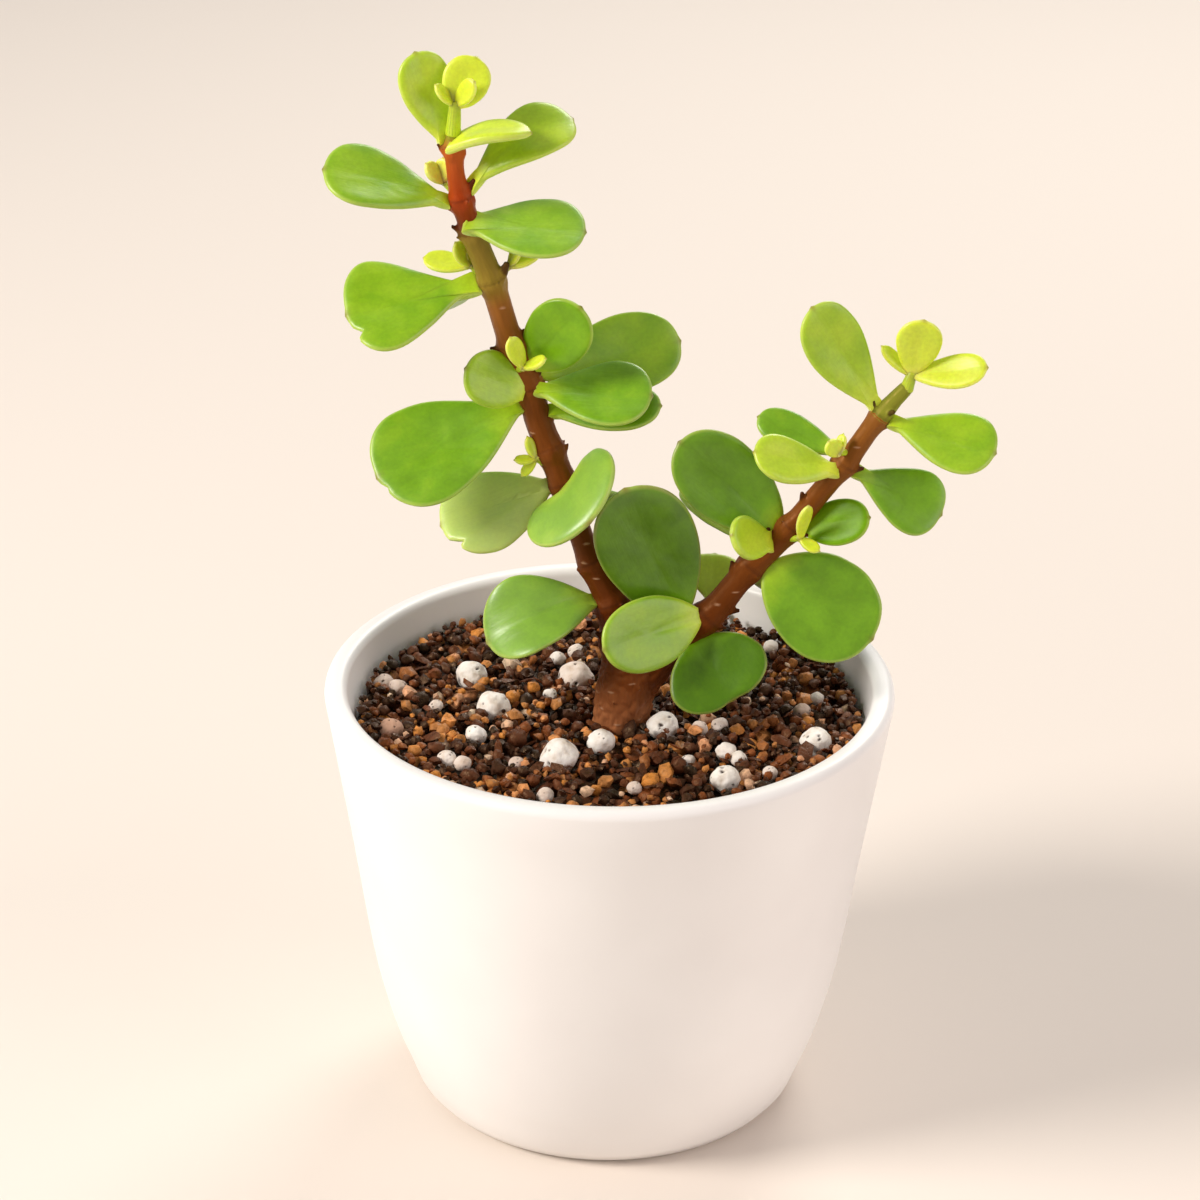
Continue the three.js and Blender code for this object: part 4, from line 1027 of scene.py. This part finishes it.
def grow_blade(blank, name, tone, wax_dust_and_sheen=0.0, shine=1.0, **shape):
    places, marks, leaf_grain = blade(blank, **shape)
    mesh = blank.data.copy()
    set_points(mesh, places * MM)
    for look, share in (("tone", tone), ("wax_dust_and_sheen", wax_dust_and_sheen), ("shine", shine)):
        paint(mesh, look, np.full(len(places), share))
    for mark, values in marks.items():
        paint(mesh, mark, values)
    paint(mesh, "leaf_grain", leaf_grain, "FLOAT_VECTOR")
    return new_object(name, mesh)


def box_difference(piece, node):
    points = points_of(piece.data)
    low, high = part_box(node)
    return max(np.abs(points.min(axis=0) - low).max(), np.abs(points.max(axis=0) - high).max()) / MM


for number, leaf in enumerate(LEAVES):
    limb = LIMBS[leaf["on"]]
    tip = leaned(limb, np.array(leaf["tip"], dtype=float))
    towards = np.array(leaf.get("side", tip - limb_at(limb, leaf["at"])[0]), dtype=float)
    shape = {key: leaf[key] for key in SHAPE_KEYS if key in leaf}
    looks = {key: leaf[key] for key in ("tone", "wax_dust_and_sheen", "shine") if key in leaf}
    piece = grow_blade(full_blank, leaf["name"] + "_blade", tip=tip, seed=number + 1,
                       base=seat_on(limb, leaf["at"], towards), **looks, **shape)
    finish_piece(piece, leaf["name"] + "_blade", waxy_leaf, [leaf["name"]], smooth_below=80)
    print("  differs by", round(box_difference(piece, leaf["name"]), 2), "mm")

# %% [markdown]
# At the tips and in some axils the plant pushes new growth: two to four tiny leaves on a soft green
# stub. Each shoot is written down as the leaves are: its place on the limb, the end of its stub, and
# the tip, width and facing of every young blade.

# %% Shoots and buds
SHOOTS = [
    dict(name="shoot_tip_left", on="left", at=143.4, stub=(-21.2, -0.2, 147), radius=1, blades=[
        dict(tip=(-23.7, -1, 149.8), width=2, face=(0.6, -0.5, 0.6)),
        dict(tip=(-18.6, -2, 150.6), width=2.8, face=(-0.3, -0.8, 0.5)),
        dict(tip=(-18.4, 2.2, 152.6), width=6.3, face=(0, -0.93, 0.35), wedge=0.6),
    ]),
    dict(name="bud_left_1", on="left", at=135, side=(-0.8, 0.8, 0), stub=(-23, 1.2, 136),
        radius=0.5, blades=[
        # Both blades take the top tone as painted light, lifting them out of the shade that they sit in.
        dict(tip=(-25.2, 0.6, 138.6), width=2.6, face=(0.6, -0.6, 0.5), tone=1),
        dict(tip=(-23, 1.8, 139), width=2.4, face=(-0.4, -0.7, 0.5), tone=1),
    ]),
    dict(name="bud_left_2", on="left", at=123.6, side=(-1, 0.5, 0), stub=(-19.5, 0.8, 124.5),
        radius=0.5, blades=[
        dict(tip=(-21.4, 0.2, 127.8), width=2.8, face=(0.5, -0.7, 0.5)),
        dict(tip=(-25.8, 3, 124.6), width=3.6, face=(0, -0.5, 0.85)),
        dict(tip=(-19, 1.5, 127.6), width=2, face=(0.5, -0.7, 0.5)),
    ]),
    dict(name="bud_left_3", on="left", at=123.2, side=(1, 0, 0), stub=(-14.2, 0.4, 124.6),
        radius=0.6, blades=[
        dict(tip=(-10, 2, 127.4), width=3.8, face=(-0.2, -0.6, 0.8)),
        dict(tip=(-12.8, 0.6, 128), width=2.2, face=(-0.6, -0.5, 0.6)),
    ]),
    dict(name="bud_left_4", on="left", at=110.4, side=(-0.1, -1, 0), stub=(-12.2, -2.7, 111.2),
        radius=0.5, blades=[
        dict(tip=(-14, -3.2, 115.6), width=2.8, face=(0.5, -0.8, 0.3)),
        dict(tip=(-9.2, -4, 113), width=2, face=(-0.2, -0.5, 0.8)),
    ]),
    dict(name="bud_left_5", on="left", at=96.6, side=(-1, -0.5, 0), stub=(-10.6, -0.8, 97),
        radius=0.45, blades=[
        dict(tip=(-11.7, -0.8, 100.2), width=1.6, face=(0.6, -0.7, 0.3)),
        dict(tip=(-13.4, -1.8, 97.2), width=1.5, face=(0, -0.6, 0.8)),
        dict(tip=(-12.4, -1.6, 94.8), width=1.5, face=(0, -0.8, 0.6)),
    ]),
    dict(name="shoot_tip_right", on="right", at=107.8, stub=(39.9, 0.2, 109.6), radius=0.9, blades=[
        dict(tip=(41.1, -1.5, 118), width=6.2, face=(0, -0.93, 0.36), wedge=0.85),
        dict(tip=(49.6, -3, 112), width=5, face=(-0.1, -0.7, 0.7), wedge=0.85),
        dict(tip=(35.8, 0.5, 113.5), width=2, face=(0.5, -0.8, 0.4)),
        dict(tip=(43, 3.5, 114.5), width=3.2, face=(0, -0.6, 0.7)),
    ]),
    dict(name="bud_right_1", on="right", at=97.6, side=(-0.8, -0.6, 0.6), stub=(30.3, -1.4, 98.8),
        radius=0.45, blades=[
        dict(tip=(29, -2.8, 101), width=2.6, face=(0, -0.9, 0.4), wedge=0.6),
        dict(tip=(31, -0.6, 101.2), width=1.6, face=(-0.5, -0.5, 0.7)),
    ]),
    dict(name="bud_right_2", on="right", at=86.2, side=(0.6, -1, 0), stub=(25.8, -1.8, 86.2),
        radius=0.5, blades=[
        dict(tip=(26.6, -3, 91.6), width=2.2, face=(0.5, -0.8, 0.4)),
        dict(tip=(28.3, -3.6, 85.2), width=1.8, face=(0, -0.6, 0.8)),
    ]),
]
print(len(SHOOTS), "shoots and buds")

# %% [markdown]
# A stub is a bevelled cone that stands on the limb. The young blades come from the lighter blank,
# because each one is only a few millimetres long, and they are thinner the smaller they are. A shoot
# is joined into one piece, as the solid that it replaces is one.

# %% New growth
BLADE_ROOT_DEPTH = 0.5
YOUNG_STALK = 0.4
YOUNG_TONE = 0.5
YOUNG_WEDGE = 0.8
STUB_LOOKS = dict(tone=0.25, along=0.3, edge=0.0, upper=1.0, shine=1.0)


def soft_stub(start, end, radius):
    reach = end - start
    nothing_selected()
    bpy.ops.mesh.primitive_cone_add(
        vertices=16, radius1=1.1 * radius * MM, radius2=0.75 * radius * MM,
        depth=(np.linalg.norm(reach) + radius) * MM)
    stub = bpy.context.object
    edit_all()
    bpy.ops.mesh.bevel(offset=0.2 * radius * MM, segments=3)
    bpy.ops.object.mode_set(mode="OBJECT")
    stub.data.transform(standing_at((start + end) / 2, unit(reach)))
    for look, share in STUB_LOOKS.items():
        paint(stub.data, look, np.full(len(stub.data.vertices), share))
    return stub


for number, shoot in enumerate(SHOOTS):
    limb = LIMBS[shoot["on"]]
    fork = leaned(limb, np.array(shoot["stub"], dtype=float))
    if "side" in shoot:
        seat = seat_on(limb, shoot["at"], np.array(shoot["side"], dtype=float))
    else:
        seat = limb_at(limb, shoot["at"])[0]
    parts = [soft_stub(seat, fork, shoot["radius"])]
    for i, young in enumerate(shoot["blades"]):
        tip = leaned(limb, np.array(young["tip"], dtype=float))
        parts.append(grow_blade(
            young_blank, "young", young.get("tone", YOUNG_TONE), tip=tip,
            base=fork - BLADE_ROOT_DEPTH * unit(tip - fork), width=young["width"], face=young["face"],
            wedge=young.get("wedge", YOUNG_WEDGE), curl=0.06, fold=0.15, stalk=YOUNG_STALK,
            thickness=0.7 + 0.12 * young["width"], seed=60 + 5 * number + i))
    finish_piece(joined(parts), shoot["name"] + "_growth", young_leaf, [shoot["name"]],
                 smooth_below=80)

for blank in (full_blank, young_blank):
    bpy.data.objects.remove(blank)

# %% [markdown]
# The soil is a gritty bonsai mix: dark crumbs of bark and loam, brown and orange baked clay, slivers
# of bark and white pumice. It is built in the order in which a gardener would see it fall: a bed
# that fills the cavity, the big pieces, and then ever finer crumbs in the gaps between them. The bed
# is turned like the pot, and its top is inset in rings, so that a slow noise can make it uneven.

# %% The bed of soil
BED_BELOW_TOP = 1.3
BED_SIDES = 96
BED_RINGS = 14
BED_RELIEF = 0.6
BED_WAVE = 2
bed_floor = POT_FLOOR + SEAT_GAP
bed_top = SOIL_LEVEL - BED_BELOW_TOP


def cavity_radius(height):
    return np.interp(height, [row[1] for row in cavity_rows], [row[0] for row in cavity_rows])


bed_rows = [(radius - SOIL_SIDE_GAP, max(height, bed_floor)) for radius, height in cavity_rows
            if height < bed_top - 1]
bed_rows.append((cavity_radius(bed_top) - SOIL_SIDE_GAP, bed_top))
bed = turned([(1, bed_floor)] + bed_rows, BED_SIDES)
edit_none("FACE")
for face in bed.data.polygons:
    face.select = face.normal.z > 0.9 and face.center.z > (bed_top - 0.5) * MM
bpy.ops.object.mode_set(mode="EDIT")
for _ in range(BED_RINGS):
    bpy.ops.mesh.inset(thickness=bed_rows[-1][0] / (BED_RINGS + 1) * MM)
bpy.ops.mesh.poke()
bpy.ops.mesh.select_mode(type="VERT")
bpy.ops.object.mode_set(mode="OBJECT")
bed_points = points_of(bed.data) / MM
on_top = bed_points[:, 2] > bed_top - 0.5
bed_points[on_top, 2] += [
    BED_RELIEF * noise.noise((x / BED_WAVE, y / BED_WAVE, 0)) for x, y, _ in bed_points[on_top]]
set_points(bed.data, bed_points * MM)
print("bed radius", round(bed_rows[-1][0], 2), "mm")

# %% [markdown]
# Soil takes its colours from what each crumb is. Every crumb is given a tone, one number for all of
# its points, and one ramp turns tones into the colours of the mix: nearly black humus, dark and
# red-brown bark, brown loam, and tan to orange baked clay. The bed under the crumbs gets the darkest
# tone of all, partly dark humus and partly painted shade for the deep gaps between the crumbs. A fine
# noise breaks up each crumb, and the roughness drifts too, because damp faces shine a little.

# %% Gritty soil mix
soil_mix, tree, shader = new_material("damp_bark_and_clay_crumbs")
tone = add_node(tree, "Attribute", attribute_name="tone")
where = add_node(tree, "TexCoord")
speckle = add_node(tree, "TexNoise", {
    "Vector": where.outputs["Object"], "Scale": 1 / (0.7 * MM), "Detail": 4.0, "Roughness": 0.65})
crumb_colour = add_node(tree, "ValToRGB", {"Fac": tone.outputs["Fac"]}, stops=[
    (0.0, "#120a05"), (0.12, "#22130b"), (0.35, "#412316"), (0.55, "#5c301a"), (0.7, "#7c421e"),
    (0.82, "#ae7440"), (0.9, "#c88038"), (0.95, "#cc9068"), (1.0, "#dcc4a8")])
speckle_value = add_node(tree, "MapRange", {
    "Value": speckle.outputs["Fac"], "From Min": 0.3, "From Max": 0.7, "To Min": 0.6, "To Max": 1.5})
crumb_varied = add_node(tree, "HueSaturation", {
    "Color": crumb_colour.outputs["Color"], "Value": speckle_value.outputs["Result"]})
damp = add_node(tree, "MapRange", {
    "Value": speckle.outputs["Fac"], "From Min": 0.35, "From Max": 0.6, "To Min": 0.2, "To Max": 0.6})
grit_bump = add_node(tree, "Bump", {
    "Height": speckle.outputs["Fac"], "Strength": 0.8, "Distance": 0.25 * MM})
set_inputs(shader, {
    "Base Color": crumb_varied.outputs["Color"], "Roughness": damp.outputs["Result"],
    "Normal": grit_bump.outputs["Normal"], "Specular IOR Level": 0.55,
    "Specular Tint": linear("#f2c79a")})
# The bed takes tone 0, nearly black: partly dark humus, partly painted shade for the deep gaps between the
# crumbs.
paint(bed.data, "tone", np.zeros(len(bed.data.vertices)))
finish_piece(bed, "soil_bed", soil_mix, ["soil"])

# %% [markdown]
# Pumice is foamed volcanic glass: off-white, dusty and dull, full of holes where gas was. The dust
# drifts between white and a warm grey over 1.5 mm, and the froth of holes, about 0.35 mm wide, is a
# bump. The larger pits are painted dark, as painted shade for the depth of the holes, and some lumps
# are stained brown by the soil water.

# %% Dusty white pumice
pumice_stone, tree, shader = new_material("dusty_white_pumice")
pit, stain = [add_node(tree, "Attribute", attribute_name=name) for name in ("pit", "stain")]
where = add_node(tree, "TexCoord")
dust = add_node(tree, "TexNoise", {
    "Vector": where.outputs["Object"], "Scale": 1 / (1.5 * MM), "Detail": 4.0})
dusty = add_node(tree, "ValToRGB", {"Fac": dust.outputs["Fac"]},
                 stops=[(0.3, "#d9cbbc"), (0.48, "#f0e8df"), (0.7, "#faf6f0")])
stained = add_node(tree, "Mix", {
    "Factor": stain.outputs["Fac"], "A": dusty.outputs["Color"], "B": linear("#b98a6c")},
    data_type="RGBA")
# The dark colour of the pits is painted shade for the depth of the holes.
pitted = add_node(tree, "Mix", {
    "Factor": pit.outputs["Fac"], "A": stained.outputs["Result"], "B": linear("#352217")},
    data_type="RGBA")
froth = add_node(tree, "TexVoronoi", {"Vector": where.outputs["Object"], "Scale": 1 / (0.35 * MM)})
froth_bump = add_node(tree, "Bump", {
    "Height": froth.outputs["Distance"], "Strength": 0.4, "Distance": 0.1 * MM})
set_inputs(shader, {
    "Base Color": pitted.outputs["Result"], "Normal": froth_bump.outputs["Normal"], "Roughness": 0.85})
print(pumice_stone.name, len(tree.nodes), "nodes")

# %% [markdown]
# Each lump starts as an icosphere that is pushed out of round by two noises and then pitted: a point
# goes in where it falls inside one of a few small spots on the lump, whose outlines are bent by a
# third noise. The lumps lie where the larger ones lie in the mix, with small ones between them. Each
# is written down as its x and y in millimetres, its radius, and how far it is stained. Chance gets a
# seed, in Python and in the noise module alike, so that every run gives the same lumps.

# %% Pumice lumps
PUMICE = [
    (-32.3, 7.6, 1.5, 0.5), (-30.2, 6.4, 1.4, 0.45), (-19.8, 10.3, 2.4, 0), (-16.5, 0.6, 2.4, 0),
    (-4.9, 10, 2.5, 0.3), (-7.6, 16.7, 1.2, 0.1), (-5, 19.1, 1.2, 0.2), (-30.3, -6.5, 1.7, 0.9),
    (-18.5, -7.9, 1.5, 0), (-22.2, -15.4, 1.4, 0.2), (-20, -16.5, 1.2, 0.35), (-6.8, -14.7, 2.6, 0),
    (-1.1, -9.6, 1.9, 0), (-8.5, 5.1, 1, 0.1), (7.5, -4.6, 2.2, 0), (12.7, -4.9, 1.2, 0.4),
    (15.5, -3.9, 1.2, 0.3), (16.2, -12.1, 1.5, 0.1), (17.8, -14, 1.2, 0.1), (15.8, -20.1, 2.1, 0),
    (28.6, -9.1, 2.2, 0), (27.2, 0.8, 1.2, 0.6), (29.5, 4.9, 1, 0.2), (23.5, 21.5, 1.1, 0.1),
    (-8.5, -25.4, 1.2, 0.35), (-12.6, -16.3, 1.1, 0.5), (3.5, -22.8, 1, 0.4), (-24.5, 0.9, 1, 0.3),
    (10.9, -14.7, 1, 0.2), (22, -18, 1.1, 0.3), (-14, 24, 1.6, 0), (3, 27, 1.9, 0), (12, 16, 1.8, 0)]
PITS_PER_LUMP = 8
PIT_DEPTH = 0.13
PIT_SPREADS = (0.07, 0.19)
LUMP_BULGE = 0.16
LUMP_DENTS = 0.05
PIT_BEND = 0.12
LUMP_FLATNESS = 0.88
LUMP_RISE = 0.2
FINER_ABOVE = 1.2
LUMP_SEED = 5


def pumice_lump(x, y, radius, stain, draw):
    nothing_selected()
    bpy.ops.mesh.primitive_ico_sphere_add(subdivisions=5 if radius > FINER_ABOVE else 4, radius=1)
    lump = bpy.context.object
    points = points_of(lump.data)
    drift = draw.uniform(0, 50)
    bulge = np.array([1 + LUMP_BULGE * noise.noise(Vector(p) * 1.1 + Vector((drift, 0, 0)))
                      + LUMP_DENTS * noise.noise(Vector(p) * 2.8 + Vector((0, drift, 0))) for p in points])
    bent = points + [PIT_BEND * noise.noise_vector(Vector(p) * 4 + Vector((0, 0, drift))) for p in points]
    pits = np.zeros(len(points))
    for _ in range(PITS_PER_LUMP):
        middle = unit([draw.gauss(0, 1), draw.gauss(0, 1), draw.gauss(0.3, 1)])
        gap = np.linalg.norm(bent - middle, axis=1) / draw.uniform(*PIT_SPREADS)
        pits = np.maximum(pits, np.clip(1.8 * (1 - gap), 0, 1))
    points *= (bulge - PIT_DEPTH * pits)[:, None] * (radius, radius, LUMP_FLATNESS * radius)
    set_points(lump.data, (points + (x, y, SOIL_LEVEL + LUMP_RISE * radius)) * MM)
    paint(lump.data, "pit", pits)
    paint(lump.data, "stain", np.full(len(points), stain))
    return lump


noise.seed_set(LUMP_SEED)
draw = random.Random(LUMP_SEED)
lumps = [pumice_lump(*row, draw) for row in PUMICE]
finish_piece(joined(lumps), "pumice_lumps", pumice_stone)

# %% [markdown]
# Three crumbs are modelled and then copied thousands of times, so each has only a few dozen faces:
# a rounded one and an angular one from icospheres, and a thin flake of bark.

# %% Three crumbs
def crumb_blank(subdivisions, scale):
    nothing_selected()
    bpy.ops.mesh.primitive_ico_sphere_add(subdivisions=subdivisions, radius=1)
    edit_all()
    bpy.ops.transform.resize(value=scale)
    bpy.ops.object.mode_set(mode="OBJECT")
    return bpy.context.object


blanks = {
    "round": crumb_blank(2, (1.05, 0.95, 0.9)),
    "angular": crumb_blank(1, (1.25, 0.95, 0.85)),
    "flake": crumb_blank(1, (1.7, 0.8, 0.3)),
}
for kind, blank in blanks.items():
    print(kind, len(blank.data.polygons), "faces")

# %% [markdown]
# The pile is poured on a map of heights, one crumb after the other. Each falls on the highest point
# under it and sinks a little into the gaps there. Its dome is then added to the map, so the next one
# lies on top. The largest go first and the dust last, with two extra helpings along the wall, where
# large crumbs find no room. Crumbs that would stand above the pile are left out, and so are those on
# the pumice or the trunk. Each helping is written down as its number of crumbs, their smallest and
# largest size in millimetres, and the share of the pile's radius at which it starts. The foot, rise
# and top of a crumb, and the dome that it leaves on the map, are shares of its size.

# %% The pile
CELL = 0.25
PILE_TOP = SOIL_LEVEL + 1.5
TRUNK_CLEARANCE = 3.8
HELPINGS = [
    (230, 1.35, 1.9, 0), (750, 1.0, 1.4, 0), (220, 0.7, 1.1, 0.92), (1850, 0.65, 1.0, 0),
    (400, 0.45, 0.75, 0.94), (1500, 0.4, 0.65, 0)]
KINDS = ("round", "angular", "flake")
KIND_SHARES = (4, 5, 1.5)
TILT = 0.7
CRUMB_FOOT = 0.45
CRUMB_RISE = 0.3
CRUMB_TOP = 0.5
DOME_HEIGHT = 0.8
DOME_REACH = 0.9
PILE_SEED = 21

draw = random.Random(PILE_SEED)
pile_radius = float(cavity_radius(SOIL_LEVEL)) - SOIL_SIDE_GAP
steps = np.arange(-pile_radius, pile_radius + CELL, CELL)
map_x, map_y = np.meshgrid(steps, steps, indexing="ij")
map_height = np.full(map_x.shape, bed_top)
for x, y, radius, _ in PUMICE:
    map_height[np.hypot(map_x - x, map_y - y) < radius] = PILE_TOP + 1

crumbs = []
for count, smallest, largest, innermost in HELPINGS:
    for _ in range(count):
        size = draw.uniform(smallest, largest)
        reach = (pile_radius - 0.75 * size) * math.sqrt(draw.uniform(innermost ** 2, 1))
        turn = draw.uniform(0, 2 * math.pi)
        x, y = reach * math.cos(turn), reach * math.sin(turn)
        kind = draw.choices(KINDS, KIND_SHARES)[0]
        aim = (draw.uniform(-TILT, TILT), draw.uniform(-TILT, TILT), draw.uniform(0, 2 * math.pi))
        tone_draws = (draw.random(), draw.random())
        if math.hypot(x - TRUNK_FOOT[0], y - TRUNK_FOOT[1]) < TRUNK_CLEARANCE:
            continue
        gap = np.hypot(map_x - x, map_y - y)
        height = map_height[gap < max(CRUMB_FOOT * size, CELL)].max() + CRUMB_RISE * size
        if height + CRUMB_TOP * size > PILE_TOP:
            continue
        dome = height + DOME_HEIGHT * np.sqrt(np.clip(size ** 2 - gap ** 2, 0, None))
        map_height = np.where(gap < DOME_REACH * size, np.maximum(map_height, dome), map_height)
        crumbs.append((kind, size, (x, y, height), aim, tone_draws))
print(len(crumbs), "crumbs in the pile")

# %% [markdown]
# The crumbs are joined into one mesh for each kind, built straight from the blanks' faces. Each blank
# has a few variants, dented by a noise. The tone is drawn so that half the mix is dark and the rest
# is red-brown bark and tan to orange clay. Clay is commoner among the larger crumbs and at the front
# on the left, where more of it was poured. Flakes are bark alone.

# %% Crumbs by kind
VARIANTS = 6
CRUMB_DENTS = 0.5
CRUMB_RADIUS_SHARE = 0.8
DARK_SHARE = 0.5
CLAY_SHARES = (0.15, 0.24)
LARGE_CRUMB = 1.2
CLAY_CORNER = (5, 8)
CORNER_CLAY = 0.12


def tone_of(kind, size, place, draws):
    first, second = draws
    if kind == "flake":
        return 0.3 + 0.4 * second
    in_corner = place[0] < CLAY_CORNER[0] and place[1] < CLAY_CORNER[1]
    clay_share = CLAY_SHARES[size > LARGE_CRUMB] + CORNER_CLAY * in_corner
    if first < clay_share:
        return 0.78 + 0.22 * second
    if first < DARK_SHARE:
        return 0.45 + 0.3 * second
    return 0.06 + 0.4 * second


def dented(blank, drift):
    points = points_of(blank.data)
    dents = [noise.noise(Vector(p) * 1.7 + Vector((drift, 0, 0))) for p in points]
    return points * (1 + CRUMB_DENTS * np.array(dents))[:, None]


def crumb_mesh(kind, blank):
    variants = [dented(blank, 7.7 * i) for i in range(VARIANTS)]
    faces = np.array([list(face.vertices) for face in blank.data.polygons])
    all_points, all_faces, tones = [], [], []
    for number, (own_kind, size, place, aim, draws) in enumerate(crumbs):
        if own_kind != kind:
            continue
        turned_points = variants[number % VARIANTS] @ np.array(Euler(aim).to_matrix()).T
        all_faces += (faces + len(tones)).tolist()
        all_points.append(CRUMB_RADIUS_SHARE * size * turned_points + place)
        tones += [tone_of(kind, size, place, draws)] * len(turned_points)
    mesh = bpy.data.meshes.new(kind)
    mesh.from_pydata((np.concatenate(all_points) * MM).tolist(), [], all_faces)
    paint(mesh, "tone", tones)
    return new_object(kind, mesh)


for kind, blank in blanks.items():
    finish_piece(crumb_mesh(kind, blank), kind + "_soil_crumbs", soil_mix, smooth_below=50)
    bpy.data.objects.remove(blank)
